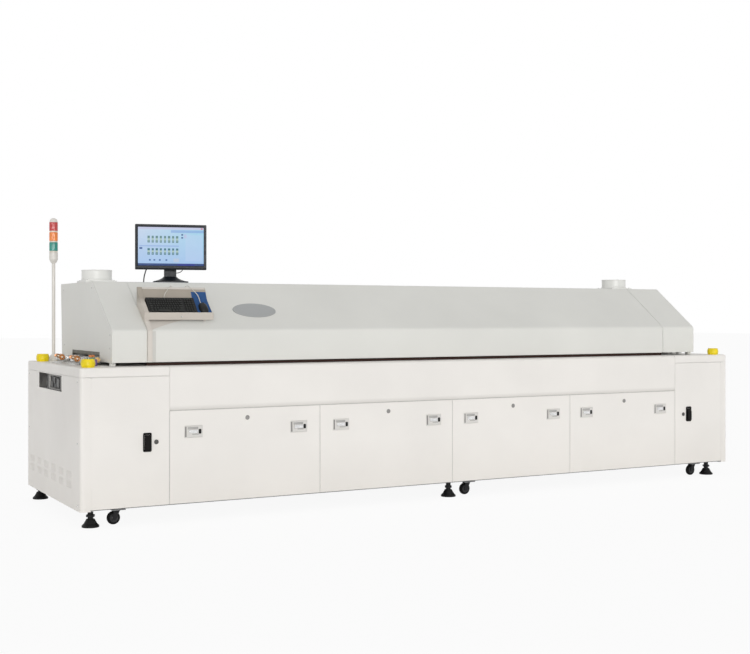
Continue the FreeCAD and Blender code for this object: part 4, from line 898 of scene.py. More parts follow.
@dataclass
class Cabinet:
    """The base cabinet: covers, doors, drop panels, latches, locks, louvres and screws."""

    front: float = -0.660
    rear: float = 0.660
    half_length: float = 2.5
    seam_x: float = 1.971
    panel_pitch: float = 0.9855
    latch_spread: float = 0.690
    latch_z: float = 0.524
    latch_half: Pair = (0.0575, 0.0365)
    pocket_half: Pair = (0.0312, 0.0122)
    latch_inset: float = 0.004
    field_lift: float = 0.0006
    fitting_gap: float = 0.00005
    scoop_offset: Triple = (0.0402, -0.0007, 0)
    plate_proud: float = 0.002
    lock_z: float = 0.594
    lock_radius: float = 0.013
    lock_proud: float = 0.003
    door_lock_x: float = 2.053
    door_latch_x: float = 2.107
    door_latch_z: float = 0.474
    door_outer_x: float = 2.437
    door_strip_x: float = 2.4349
    return_x: float = 2.440
    corner_lip_x: float = 2.43785
    strip_half: float = 0.0011
    lip_half: float = 0.00205
    lip_depth: float = 0.0004
    lip_fold: float = 0.12
    rim_room: float = 0.004
    sill: float = 0.102
    panel_seam_z: float = 0.653
    rim_seam_z: float = 0.859
    corner_radius: float = 0.022
    seal_half: float = 0.0016
    seal_depth: float = 0.006
    seal_recess: float = 0.0015
    seal_room: Pair = (0.003, 0.002)
    door_seal_half: float = 0.0024
    door_seal_recess: float = 0.015
    strip_recess: float = 0.0009
    pale_recess: float = 0.0004
    fascia_top: float = 0.908
    panels: int = 4
    louvre_spread: float = 0.2
    louvre_rows: Tuple[float, float, int] = (0.62, 0.032, 6)
    end_screws: Tuple[Pair, Triple] = ((-0.60, 0.60), (0.125, 0.48, 0.835))
    rear_screws: Tuple[Pair, Triple] = ((-0.03, 0.03), (0.13, 0.5, 0.88))
    screw_rooms: Pair = (0.05, 0.06)

    def dress_nodes(self) -> None:
        """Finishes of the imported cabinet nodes."""
        finishes: Dict[str, Finish] = {
            "left_end_panel": SEAM_COAT, "right_end_panel": SEAM_COAT, "front_fascia": FASCIA_COAT,
            "rear_covers": CABINET, "deck_plate": CABINET, "end_deck_covers": CABINET,
            "left_door": CABINET, "right_door": CABINET, "base_frame": FRAME_COAT,
            "left_door_lever": LEVER, "right_door_lever": LEVER,
        }
        for number in range(1, self.panels + 1):
            finishes["lower_panel_%d" % number] = CABINET
            finishes["lower_panel_%d_latches" % number] = CHROME
        dress(finishes)

    def panel_x(self, number: int) -> float:
        """Middle of a drop panel."""
        return self.panel_pitch * (number - 0.5) - self.seam_x

    def latch_rim(self) -> Surface:
        """A low rounded rim carried round a latch's plate."""
        return hoop((self.latch_half[0] - 0.0022, self.latch_half[1] - 0.0022), 0.003, (
            (-0.0022, 0), (-0.0018, 0.0012), (0, 0.0017), (0.0018, 0.0012), (0.0022, 0)), 5)

    def latch_field(self) -> Surface:
        """The flat field between a latch's rim and its pocket, lofted from one ring to the other.

        Returns:
            The surface.
        """
        inner = ring(self.pocket_half, 0.002, 6)
        outer = ring((self.latch_half[0] - self.latch_inset, self.latch_half[1] - self.latch_inset), 0.002, 6)
        return frame_of(inner, outer, self.field_lift)

    def latch_bar(self, half: Pair, across: float, up: float) -> Surface:
        """A low flat bar on a latch's plate, set across and up from its middle."""
        bar = block(half, ((0, 0.0002), (0, 0.0009), (0.0006, 0.0012)), 0.0015, 3)
        return bar.copies(np.array([(across, up, 0)]))

    def latch_shade_bands(self) -> Surface:
        """Painted shade: a grey band over a latch's tongue, on its recess's upper wall, and a shorter painted
        shadow under the tongue's free end.
        """
        over = self.latch_bar((0.0330, 0.0070), -0.004, 0.0205)
        return joined(over, self.latch_bar((0.0210, 0.0030), 0.012, -0.0165))

    def finger_scoop(self) -> Surface:
        """A shallow dished scoop: rounded rings that sink towards its middle; it is drawn black as painted
        shade for the finger hole.
        """
        return block((0.0085, 0.0142), (
            (0, 0), (0, 0.0012), (0.0012, 0.0016), (0.0022, 0.0012), (0.0045, 0.0008)), 0.006, 5)

    def lock_face(self) -> Surface:
        """A key lock's turned face with its keyway sunk across the middle.

        Returns:
            The surface.
        """
        r = self.lock_radius
        face = lathe((
            (r * 1.08, 0), (r * 1.08, 0.0006), (r, 0.0012), (r * 0.78, 0.0014), (r * 0.74, 0.0007),
            (r * 0.5, 0.0009), (0, 0.0009)), 28)
        keyway = block((0.0014, 0.0052), ((0, 0.0006), (0, 0.0013), (0.0004, 0.0015)), 0.0012, 3)
        return joined(face, keyway)

    def build_panel_fittings(self) -> None:
        """Latch bezels with their painted shade bars and bands, black scoops as painted shade of the finger
        holes, and lock faces of the drop panels, each on its own panel.
        """
        # The dark bar at the latch's left edge is painted shade of the recess's side wall.
        edge_shade_bar = self.latch_bar((0.0042, 0.0305), -0.0485, 0)
        fittings = (
            ("_latch_rims", self.latch_rim(), LATCH_RIM, "latch_chrome", (0, 0, 0)),
            ("_latch_fields", self.latch_field(), LATCH_FIELD, "latch_chrome", (0, 0, 0)),
            ("_latch_edge_shades", edge_shade_bar, LATCH_SHADE, "latch_chrome", (0, 0, 0)),
            ("_latch_shade_bands", self.latch_shade_bands(), LATCH_BAND_SHADE, "latch_chrome", (0, 0, 0)),
            # The scoops are black as painted shade for the finger holes.
            ("_finger_scoop_shades", self.finger_scoop(), BLACK, "desk_black", self.scoop_offset),
        )
        face = self.front - self.plate_proud - self.fitting_gap
        for number in range(1, self.panels + 1):
            body = "lower_panel_%d" % number
            middle, reach = self.panel_x(number), self.latch_spread / 2
            spots = np.array([(middle + side * reach, face, self.latch_z) for side in (-1, 1)])
            for name, surface, finish, slot, offset in fittings:
                pair = surface.at(Facing.FRONT.at()).copies(spots + np.array(offset))
                make(body + name, pair, finish, body)
            lock = Facing.FRONT.at((middle, self.front - self.lock_proud, self.lock_z))
            make(body + "_lock_face", self.lock_face().at(lock), PANEL_LOCK, body)

    def escutcheon(self) -> Surface:
        """A lever's black surround: a rounded rim carried round its plate, and a thin bed inside it.

        Returns:
            The surface.
        """
        rim = hoop((0.0215, 0.0515), 0.004, (
            (-0.0035, -0.0018), (-0.0035, 0.0016), (-0.0015, 0.0034), (0.0022, 0.0034), (0.0042, 0.0016),
            (0.0042, -0.0018)))
        return joined(rim, frame_of(ring((0.0176, 0.0437), 0.002), ring((0.0200, 0.0500), 0.002), 0.0005))

    def upright(self, x: float, half_width: float, recess: float, depth: float) -> Surface:
        """A seal that stands in a door's seam, from the sill to under the rim."""
        head = self.rim_seam_z - self.rim_room
        return self.seal_strip(((x, self.sill), (x, head)), half_width, recess, depth)

    def build_door_fittings(self) -> None:
        """The corner doors' lock faces, their levers' escutcheons and the strips on their hinged edges."""
        for side, name in ((-1, "left_door"), (1, "right_door")):
            lock, plate = (
                Facing.FRONT.at((side * x, self.front - proud, self.door_latch_z))
                for x, proud in ((self.door_lock_x, self.lock_proud), (self.door_latch_x, self.plate_proud)))
            make(name + "_lock_face", self.lock_face().at(lock), LOCK_STEEL, name)
            make(name + "_latch_escutcheon", self.escutcheon().at(plate), LEVER, name)
            strip = self.upright(side * self.door_strip_x, self.strip_half, self.strip_recess, self.lip_depth)
            make(name + "_edge_strip", strip, SEAM_COAT, name)

    def seal_strip(self, ends: Tuple[Pair, Pair], half_width: float, recess: float, depth: float) -> Surface:
        """A straight seal in a seam of the front: a bevelled bar from one X and Z to another.

        Args:
            ends: Its two ends' X and Z.
            half_width: Half its width across the seam.
            recess: How far its face lies behind the front.
            depth: Its thickness.

        Returns:
            The surface.
        """
        (x0, z0), (x1, z1) = ends
        half = (max((x1 - x0) / 2, half_width), max((z1 - z0) / 2, half_width))
        bar = block(half, ((0, -depth), (0, -0.0002), (0.0002, 0)), 0.0006, 2)
        return bar.at(Facing.FRONT.at(((x0 + x1) / 2, self.front + recess, (z0 + z1) / 2)))

    def rim_seal(self, side: int) -> Surface:
        """The seal under an end cap's rim: a small section carried round the end module.

        Args:
            side: -1 for the left end, 1 for the right.

        Returns:
            The surface.
        """
        inset, bend = self.pale_recess, self.corner_radius
        y = self.rear - inset
        turn = np.linspace(0, QUARTER_TURN, 9)
        arc = np.stack([np.cos(turn), np.sin(turn)], -1) * (bend - inset)
        corner = np.array([self.half_length - bend, self.rear - bend])
        rear_bend = corner + arc
        front_bend = (corner + arc[::-1]) * np.array([1, -1])
        inner = self.seam_x + self.seal_room[0]
        plan = np.concatenate([[(inner, -y)], front_bend, rear_bend, [(inner, y)]])
        path = np.concatenate([plan * np.array([side, 1]), np.full((len(plan), 1), self.rim_seam_z)], axis=1)
        depth, half = 0.002 * side, self.seal_half
        return swept(path, ((0, -half), (depth, -half), (depth, half), (0, half)))

    def build_seals(self) -> None:
        """Grey seals round the panels and behind the doors, and coat-coloured ones in the faint seams."""
        x, seam = self.seam_x, self.panel_seam_z
        panel_seal = (self.seal_half, self.seal_recess, self.seal_depth)
        pale_seal = (self.seal_half, self.pale_recess, self.seal_depth)
        end, head = x - self.seal_room[0], seam - self.seal_room[1]
        grey = [self.seal_strip(((-end, seam), (end, seam)), *panel_seal)]
        for number in range(self.panels + 1):
            edge = self.panel_pitch * number - x
            grey.append(self.seal_strip(((edge, self.sill), (edge, head)), *panel_seal))
        pale = [self.rim_seal(-1), self.rim_seal(1)]
        for side in (-1, 1):
            door_x = side * self.door_outer_x
            grey.append(self.upright(door_x, self.door_seal_half, self.door_seal_recess, self.seal_depth))
            pale.append(self.seal_strip(((side * x, seam), (side * x, self.fascia_top)), *pale_seal))
        make("edge_seals", joined(*grey), EDGE_SEAL, Body.BASE)
        make("pale_seals", joined(*pale), CABINET, Body.BASE)

    def build_corner_lips(self) -> None:
        """The thin lips beside the doors."""
        for side, name in ((-1, "left"), (1, "right")):
            lip = self.upright(side * self.corner_lip_x, self.lip_half, self.pale_recess, self.lip_depth)
            piece = make(name + "_corner_lip", lip, SEAM_COAT, Body.BASE)
            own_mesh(piece)

    def louvre(self, length: float, height: float, bulge: float) -> Surface:
        """A pressed louvre: its bulge is the sine of the way up, eased to nothing at both ends.

        Args:
            length: Its length.
            height: Its height.
            bulge: How far it stands out.

        Returns:
            The surface.
        """
        u, v = np.meshgrid(np.linspace(-1, 1, 17), np.linspace(0, 1, 9))
        ease = 1 - u ** 8
        out = bulge * ease * np.sin(math.pi * v ** 1.6 * 0.62)
        outside = np.stack([u * length / 2, v * height, out], -1)
        inside = np.stack([u * length / 2, v * height, out * 0], -1)
        return joined(grid(outside), grid(inside[::-1]), grid(np.stack([inside[-1], outside[-1]])[::-1]))

    def build_rear(self) -> None:
        """Rows of pressed louvres on the rear covers."""
        louvre = self.louvre(0.16, 0.018, 0.008).at(Facing.REAR.at())
        foot, pitch, rows = self.louvre_rows
        spots = [
            (self.panel_x(number) + side * self.louvre_spread, self.rear, foot + pitch * row)
            for number in range(1, self.panels + 1) for side in (-1, 1) for row in range(rows)
        ]
        make("rear_louvres", louvre.copies(np.array(spots)), CABINET, Body.BASE)

    def build_screws(self) -> None:
        """Screw heads on the end panels and rear covers."""
        head = ScrewHead()
        sides = []
        (ys, end_zs), (offsets, rear_zs) = self.end_screws, self.rear_screws
        for x, facing in ((-self.half_length, Facing.LEFT), (self.half_length, Facing.RIGHT)):
            sides.append(head.on(facing, [(x, y, z) for y in ys for z in end_zs]))
        reach, end = (self.half_length - room for room in self.screw_rooms)
        seams = [-end, *(self.panel_pitch * number - self.seam_x for number in range(self.panels + 1)), end]
        spots = [
            (x + offset, self.rear, z) for x in seams for offset in offsets for z in rear_zs
            if abs(x + offset) < reach
        ]
        make("cover_screws", joined(*sides, head.on(Facing.REAR, spots)), STEEL, Body.BASE)


@dataclass
class Hood:
    """The tunnel hood, its fixed ends, plain badge, exhaust stacks and seal."""

    end_x: float = 2.279
    front: float = -0.533
    foot: float = 0.936
    fold_z: float = 1.125
    top: float = 1.425
    slope_run: float = 0.411
    slope_rise: float = 0.300
    badge_x: float = -1.308
    badge_z: float = 1.246
    badge_half: Pair = (0.1465, 0.074)
    stack_radius: float = 0.095
    stack_height: float = 0.080
    stack_y: float = 0.165
    plate_top: float = 1.437
    bead_radius: float = 0.0034
    bolt_reach: float = 0.086
    rear: float = 0.655
    seam_left: Pair = (-2.0677, -2.0653)
    seam_insets: Pair = (0.0006, 0.005)
    stack_xs: Pair = (-2.1735, 2.079)
    end_screws: Tuple[Pair, ...] = ((-0.49, 1.02), (0.56, 1.02), (-0.10, 1.385), (0.59, 1.385), (-0.49, 1.10))

    def dress_nodes(self) -> None:
        """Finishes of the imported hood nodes."""
        dress({
            "left_hood_end": HOOD_COAT, "right_hood_end": HOOD_COAT, "main_hood": HOOD_COAT,
            "exhaust_stacks": STACK_COAT, "hood_seal": SEAL, "hood_hinge_pins": STEEL,
            "upper_zone_modules": ZONE, "lower_zone_modules": ZONE,
        })

    def slope_place(self, x: float, z: float) -> Place:
        """A place on the sloped front at an X and a height.

        Args:
            x: Place along the hood.
            z: Height on the slope.

        Returns:
            The place.
        """
        length = math.hypot(self.slope_run, self.slope_rise)
        run, rise = self.slope_run / length, self.slope_rise / length
        y = self.front + (z - self.fold_z) * self.slope_run / self.slope_rise
        return Place((x, y, z), ((1, 0, 0), (0, run, rise), (0, -rise, run)))

    def build_badge(self) -> None:
        """A plain oval plate, left bare, with a thin raised rim."""
        plate = oval(self.badge_half, (
            (0.001, 0.0002), (0, 0.0012), (0.0008, 0.0026), (0.004, 0.003), (0.006, 0.0022), (0.02, 0.0022),
            (0.05, 0.0022)))
        place = self.slope_place(self.badge_x, self.badge_z)
        make("plain_badge", plate.at(place), BADGE_COAT, Body.HOOD)

    def build_stacks(self) -> None:
        """A rolled bead round each stack's mouth, a band at its foot, and bolts on its plate."""
        r, foot, bend, reach = self.stack_radius, self.plate_top, self.bead_radius, self.bolt_reach
        mouth = self.top + self.stack_height - 0.0036
        turn = np.linspace(0, FULL_TURN, 13)
        bead = np.stack([r - 0.0012 + bend * np.cos(turn), mouth + bend * np.sin(turn)], -1)
        band = ((r, foot), (r + 0.004, foot), (r + 0.004, foot + 0.006), (r, foot + 0.010), (r, foot))
        collar = joined(lathe(bead, 64), lathe(band, 64))
        spots = [(x, self.stack_y, 0) for x in self.stack_xs]
        make("stack_collars", collar.copies(np.array(spots)), STACK_COAT, Body.BASE)
        bolts = [(x + a * reach, self.stack_y + b * reach, foot) for x in self.stack_xs
                 for a in (-1, 1) for b in (-1, 1)]
        make("stack_bolts", ScrewHead(0.006, 0.004).on(Facing.TOP, bolts), STEEL, Body.BASE)

    def end_seal(self) -> Surface:
        """The seal in the seam beside the left end: a thin section carried up the front, slope and top.

        Each corner moves inwards along the sum of its two sides' normals, over one plus their product.

        Returns:
            The surface.
        """
        peak = self.front + self.slope_run
        path = np.array([
            (self.front, self.foot), (self.front, self.fold_z), (peak, self.top), (self.rear, self.top)])
        way = np.diff(path, axis=0)
        inward = np.stack([way[:, 1], -way[:, 0]], -1) / np.linalg.norm(way, axis=1, keepdims=True)
        before, after = inward[[0, 0, 1, 2]], inward[[0, 1, 2, 2]]
        mitre = (before + after) / (1 + (before * after).sum(1, keepdims=True))
        (left, right), (face, back) = self.seam_left, self.seam_insets
        rows = [
            np.concatenate([np.full((len(path), 1), x), path + mitre * inset], axis=1)
            for x, inset in ((left, face), (right, face), (right, back), (left, back))
        ]
        return capped(np.stack(rows, axis=1))

    def build_end_seal(self) -> None:
        """The coat-coloured seal between the lifting hood and its left end."""
        make("hood_end_seal", self.end_seal(), HOOD_COAT, Body.BASE)

    def build_end_screws(self) -> None:
        """Screw heads on the hood's fixed ends."""
        heads = []
        for x, facing in ((-self.end_x, Facing.LEFT), (self.end_x, Facing.RIGHT)):
            heads.append(ScrewHead(0.005, 0.0025).on(facing, [(x, y, z) for y, z in self.end_screws]))
        make("hood_end_screws", joined(*heads), STEEL, Body.BASE)


@dataclass
class Conveyor:
    """Board rails with their pin chains, the belt, rollers, width screw and inlet fittings."""

    half_length: float = 2.386
    chain_z: float = 0.9615
    front_face: float = -0.1945
    rear_face: float = 0.1305
    pitch: float = 0.0127
    deck_top: float = 0.915
    wheel_z: float = 0.952
    wheels: Tuple[Pair, Pair] = ((-2.404, 0.953), (-2.429, 0.962))
    tooth: float = 0.08
    cap_circle: float = 0.0125
    bracket_reach: float = 0.046
    tensioner: Triple = (-2.484, -0.030, 0.805)
    plate_face: float = 0.0034
    fittings_x: float = -2.345
    sensor_y: float = -0.335
    sensor_height: float = 0.050
    plug_y: float = -0.395
    baffle_drop: float = 0.0225
    baffle_wave: float = 0.0022
    baffle_waves: int = 20
    baffle_sheet: float = 0.0012
    rail_end: float = -2.390
    rail_half: float = 0.0175
    rail_middles: Pair = (-0.212, 0.148)
    mouth: Pair = (-0.2695, 0.3695)
    mouth_top: float = 0.993
    mouth_x: float = -2.276

    def dress_nodes(self) -> None:
        """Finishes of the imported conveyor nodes."""
        dress({
            "front_rail": ALUMINIUM, "rear_rail": ALUMINIUM, "rail_guides": STEEL, "width_screw": BRASS,
            "mesh_belt": BELT, "inlet_roller": STEEL, "outlet_roller": STEEL,
        })

    def chain_link(self) -> Surface:
        """One link: two rounded side plates and the roller pin between them, along X.

        Returns:
            The surface.
        """
        plate = block((self.pitch * 0.58, 0.0029), ((0.0003, -0.0005), (0, 0), (0.0003, 0.0005)), 0.0028, 3)
        sides = plate.copies(np.array([(0, 0, 0.0012), (0, 0, 0.0058)]))
        pin = lathe(((0, 0), (0.0017, 0), (0.0017, 0.0075), (0, 0.0078)), 6)
        return joined(sides, pin)

    def build_chains(self) -> None:
        """A pin chain along the inner face of each rail; the rear one slides with its rail."""
        steps = np.arange(-self.half_length, self.half_length, self.pitch)
        zeros = np.zeros_like(steps)
        runs = (
            ("front_rail_chain", Facing.REAR, self.front_face, Body.BASE),
            ("rear_rail_chain", Facing.FRONT, self.rear_face, Body.REAR_RAIL),
        )
        for name, facing, face, body in runs:
            link = self.chain_link().at(facing.at((0, face, self.chain_z)))
            make(name, link.copies(np.stack([steps, zeros, zeros], -1)), STEEL, body, sharp=50)

    def sprocket(self, radius: float, teeth: int = 16) -> Surface:
        """A chain wheel: its rim swells and falls with the cosine of its teeth.

        Args:
            radius: Radius at the middle of the teeth.
            teeth: Their count.

        Returns:
            The surface, standing on its place.
        """
        turn = np.linspace(0, FULL_TURN, teeth * 6, endpoint=False)
        share, height, toothed = np.array((
            (0, 0, 0), (0.9, 0, 0), (1, 0.001, 1), (1, 0.003, 1), (0.86, 0.004, 0), (0.62, 0.0025, 0),
            (0.5, 0.004, 0), (0, 0.004, 0))).T[:, :, None]
        reach = radius * share * (1 + self.tooth * toothed * np.cos(teeth * turn))
        return grid(np.stack([reach * np.cos(turn), reach * np.sin(turn), height + 0 * reach], -1), True)

    def end_bracket(self) -> Surface:
        """A rail's end bracket: a rounded block standing on the rail's end, along X."""
        levels = ((0.002, 0), (0, 0.002), (0, self.bracket_reach - 0.003), (0.003, self.bracket_reach))
        return block((self.rail_half - 0.001, 0.017), levels, 0.004)

    def build_rail_ends(self) -> None:
        """Brackets, chain wheels, pale hubs and orange caps at the inlet end of both rails."""
        hub = lathe(((0.0052, 0.004), (0.0052, 0.008), (0.0036, 0.0095), (0, 0.0095)), 14)
        cap = lathe(((0.0042, 0.002), (0.0042, 0.006), (0.003, 0.0075), (0, 0.0075)), 12)
        turn = np.arange(5) * FULL_TURN / 5 + 0.4
        caps = cap.copies(self.cap_circle * np.stack([np.cos(turn), np.sin(turn), 0 * turn], -1))
        large, small = self.sprocket(0.0195), self.sprocket(0.0125, 10)
        for name, middle, body in zip(("front", "rear"), self.rail_middles, (Body.BASE, Body.REAR_RAIL)):
            bracket = self.end_bracket().at(Facing.LEFT.at((self.rail_end, middle, self.wheel_z)))
            make("inlet_bracket_" + name, bracket, SHEET_STEEL, body)
            near, far = (
                [facing.at((x, middle + side * self.rail_half, z)) for x, z in self.wheels]
                for side, facing in ((-1, Facing.FRONT), (1, Facing.REAR)))
            sides = (("inlet_wheels_", near, BRONZE), ("inlet_far_wheels_", far, COPPER))
            for piece, places, finish in sides:
                wheels = joined(large.at(places[0]), small.at(places[1]))
                make(piece + name, wheels, finish, body, sharp=50)
            hubs = joined(*(hub.at(place) for place in near))
            make("inlet_hubs_" + name, hubs, LENS_RING, body)
            make("inlet_caps_" + name, caps.at(near[0]), TERMINAL_ORANGE, body)

    def tensioner_plate(self) -> Surface:
        """The dark plate behind the inlet window, and its post: two rounded blocks.

        Returns:
            The surface.
        """
        plate = block((0.2075, 0.054), ((0, 0), (0, 0.003), (0.0006, 0.0036)), 0.003)
        post = block((0.0095, 0.05), ((0, 0), (0, 0.0132)), 0.002)
        return joined(plate.at(Place((0.0125, 0, 0))), post.at(Place((0.2215, 0, 0))))

    def tensioner_arms(self) -> Surface:
        """Guide bars, chain strands and slides on the plate: low rounded bars, some turned in its plane.

        Returns:
            The surface.
        """
        bars = []
        for across, up, half, lean in (
            (0.027, 0.043, (0.153, 0.0050), 0), (0.027, -0.041, (0.153, 0.0050), 0),
            (0.172, 0, (0.0080, 0.046), 0), (0.020, 0.031, (0.090, 0.0016), -4),
            (0.020, -0.031, (0.090, 0.0016), 4), (-0.118, 0.002, (0.0140, 0.040), 0),
        ):
            c, s = math.cos(math.radians(lean)), math.sin(math.radians(lean))
            bar = block(half, ((0, self.plate_face), (0, 0.010), (0.001, 0.0116)), 0.002)
            bars.append(bar.at(Place((across, up, 0), ((c, s, 0), (-s, c, 0), (0, 0, 1)))))
        return joined(*bars)

    def tensioner_wheels(self) -> Surface:
        """A large and two small chain wheels on the plate.

        Returns:
            The surface.
        """
        spots = ((0.031, 20, 0.088, -0.004), (0.022, 14, -0.004, 0.012), (0.022, 14, -0.062, -0.016))
        wheels = [
            self.sprocket(radius, teeth).at(Place((across, up, self.plate_face)))
            for radius, teeth, across, up in spots
        ]
        return joined(*wheels)

    def build_tensioner(self) -> None:
        """The belt's tensioner behind the inlet window, held by the end panel's wall."""
        place = Facing.LEFT.at(self.tensioner)
        make("belt_tensioner_plate", self.tensioner_plate().at(place), CASTER_COAT, Body.BASE)
        make("belt_tensioner_arms", self.tensioner_arms().at(place), ARM_STEEL, Body.BASE)
        wheels = self.tensioner_wheels().at(place)
        make("belt_tensioner_wheels", wheels, LOCK_STEEL, Body.BASE, sharp=50)

    def baffle(self) -> Surface:
        """The tunnel mouth's corrugated baffle: a sine across the mouth that deepens downwards; its dark
        finish is painted shade under the mouth's top edge.

        Returns:
            The surface.
        """
        u, v = np.meshgrid(np.linspace(0, 1, 129), np.linspace(0, 1, 5))
        x = self.mouth_x + self.baffle_wave * np.sin(u * self.baffle_waves * FULL_TURN) * v
        y = self.mouth[0] + u * (self.mouth[1] - self.mouth[0])
        z = self.mouth_top - 0.001 - self.baffle_drop * v
        near, far = np.stack([x, y, z], -1), np.stack([x + self.baffle_sheet, y, z], -1)
        ends = [grid(np.stack([near[:, k], far[:, k]])) for k in (0, -1)]
        return joined(grid(np.concatenate([near, far[::-1], near[:1]])), *ends)

    def build_inlet(self) -> None:
        """Fittings beside the board inlet: sensor, terminals, plug and the tunnel mouth's corrugated baffle,
        whose dark finish is painted shade.
        """
        high = self.sensor_height
        levels = ((0.002, 0), (0, 0.002), (0, high - 0.004), (0.002, high), (0.006, high))
        place = Place((self.fittings_x, self.sensor_y, self.deck_top))
        sensor = block((0.016, 0.028), levels, 0.004).at(place)
        make("inlet_sensor", sensor, SENSOR_GREEN, Body.BASE)
        pip = lathe(((0.0055, 0), (0.0055, 0.010), (0.003, 0.013), (0, 0.013)), 12)
        spots = np.array([(x, y, high) for x in (-0.008, 0.008) for y in (-0.017, 0, 0.017)])
        make("inlet_terminals", pip.copies(spots).at(place), TERMINAL_ORANGE, Body.BASE)
        levels = ((0.001, 0), (0, 0.002), (0, 0.034), (0.003, 0.039), (0.005, 0.039))
        plug = block((0.013, 0.020), levels, 0.003).at(Place((self.fittings_x, self.plug_y, self.deck_top)))
        make("inlet_plug", plug, VIOLET, Body.BASE)
        # The baffle's dark finish is painted shade under the mouth's top edge.
        make("inlet_baffle", self.baffle(), MOUTH_SHADE_BAFFLE, Body.BASE, sharp=60)


@dataclass
class SignalTower:
    """The signal pole with its three fluted lamp lenses."""

    x: float = -2.340
    y: float = 0.612
    lens_foot: float = 1.635
    step: float = 0.067
    ring: float = 0.010
    radius: float = 0.0278
    bore: float = 0.0125
    flutes: int = 28
    flute_depth: float = 0.0005

    def lens(self) -> Surface:
        """A fluted drum: the cosine of the flutes rides on the radius between its shoulders.

        Returns:
            The surface.
        """
        turn = np.linspace(0, FULL_TURN, self.flutes * 6, endpoint=False)
        bore, shoulder, full = self.bore, 0.94 * self.radius, self.radius
        radius, rise, depth = np.array((
            (bore, 0, 0), (shoulder, 0, 0), (full, 0.03, 0.3), (full, 0.12, 1), (full, 0.88, 1),
            (full, 0.97, 0.3), (shoulder, 1, 0), (bore, 1, 0), (bore, 0, 0))).T[:, :, None]
        reach = radius + self.flute_depth * depth * (np.cos(self.flutes * turn) - 1)
        level = rise * (self.step - self.ring) + 0 * turn
        return grid(np.stack([reach * np.cos(turn), reach * np.sin(turn), level], -1), True)

    def band(self) -> Surface:
        """The pale ring under a lens: a bevelled square section, turned.

        Returns:
            The surface.
        """
        foot, head, bore = 0.0004, self.ring - 0.0004, self.bore
        return lathe((
            (bore, foot), (0.0255, foot), (0.0268, 0.002), (0.0268, self.ring - 0.002), (0.0255, head),
            (bore, head), (bore, foot)), 48)

    def build(self) -> None:
        """Pole finish, three lenses in place of the plain ones, and the pale rings between."""
        dress({"signal_pole": POLE_COAT})
        lamps = (("green", LENS_GREEN), ("amber", LENS_AMBER), ("red", LENS_RED))
        for index, (colour, finish) in enumerate(lamps):
            name = "signal_lens_" + colour
            foot = self.lens_foot + self.step * index
            lens = self.lens().at(Place((self.x, self.y, foot + self.ring)))
            make(name, lens, finish, Body.BASE, replaces=("signal_lenses",))
            band = self.band().at(Place((self.x, self.y, foot)))
            make(name + "_ring", band, LENS_RING, Body.BASE)


@dataclass
class EmergencyStops:
    """Yellow guards with red mushroom buttons."""

    deck_top: float = 0.915
    spots: Tuple[Tuple[str, float, float], ...] = (
        ("left_front", -2.440, -0.604), ("left_rear", -2.440, 0.490), ("right_front", 2.410, -0.604))

    def button(self) -> Surface:
        """A mushroom button: stem, undercut and a crowned head, turned about its axis.

        Returns:
            The surface.
        """
        turn = np.linspace(0, QUARTER_TURN, 9)
        crown = np.stack([0.022 * np.cos(turn), 0.0335 + 0.0105 * np.sin(turn)], -1)
        return lathe((
            (0, 0.0062), (0.0079, 0.0062), (0.0079, 0.0215), (0.0195, 0.0222), (0.0212, 0.026),
            (0.022, 0.030), *crown), 40)

    def build(self) -> None:
        """Guard finish, and a smooth button in place of each plain one."""
        dress({"estop_guards": YELLOW})
        for name, x, y in self.spots:
            node = "estop_button_" + name
            place = Place((x, y, self.deck_top))
            make(node + "_crown", self.button().at(place), RED, node, replaces=(node,))


@dataclass
class RunningGear:
    """Levelling feet and swivel casters."""

    caster_xs: Triple = (-2.269, 0.156, 2.202)
    caster_y: float = 0.600
    trail: float = 0.022
    axle_z: float = 0.041
    wheel_half: float = 0.014
    foot_xs: Triple = (-2.427, 0.0, 2.335)
    foot_y: float = 0.608

    def hub(self) -> Surface:
        """A dished hub disc on each side of a wheel, turned about the axle.

        Returns:
            The surface.
        """
        w = self.wheel_half
        half = lathe(((0.0056, w - 0.001), (0.0056, w + 0.0009), (0.010, w + 0.0013), (0.0115, w + 0.0005),
                      (0.0205, w + 0.0004), (0.0225, w + 0.0013), (0.0255, w + 0.0009), (0.0262, w - 0.001),
                      (0.0056, w - 0.001)), 40)
        return joined(half.at(Facing.FRONT.at()), half.at(Facing.REAR.at()))

    def build(self) -> None:
        """Finishes of feet, forks and wheels, hub discs on the wheels and lock nuts on the feet."""
        dress({"levelling_feet": FOOT})
        casters = [(x, y) for y in (-self.caster_y, self.caster_y) for x in self.caster_xs]
        for number, (x, y) in enumerate(casters, 1):
            wheel = "caster_wheel_%d" % number
            dress({"caster_fork_%d" % number: CASTER_COAT, wheel: TYRE})
            place = Place((x - self.trail, y, self.axle_z))
            make(wheel + "_hubs", self.hub().at(place), HUB, wheel)
        nut = lathe(((0.0163, 0.058), (0.025, 0.058), (0.026, 0.0595), (0.026, 0.070), (0.025, 0.0715),
                     (0.0163, 0.0715), (0.0163, 0.058)), 6)
        spots = np.array([(x, y, 0) for y in (-self.foot_y, self.foot_y) for x in self.foot_xs])
        make("foot_lock_nuts", nut.copies(spots), CASTER_COAT, Body.BASE, sharp=25)


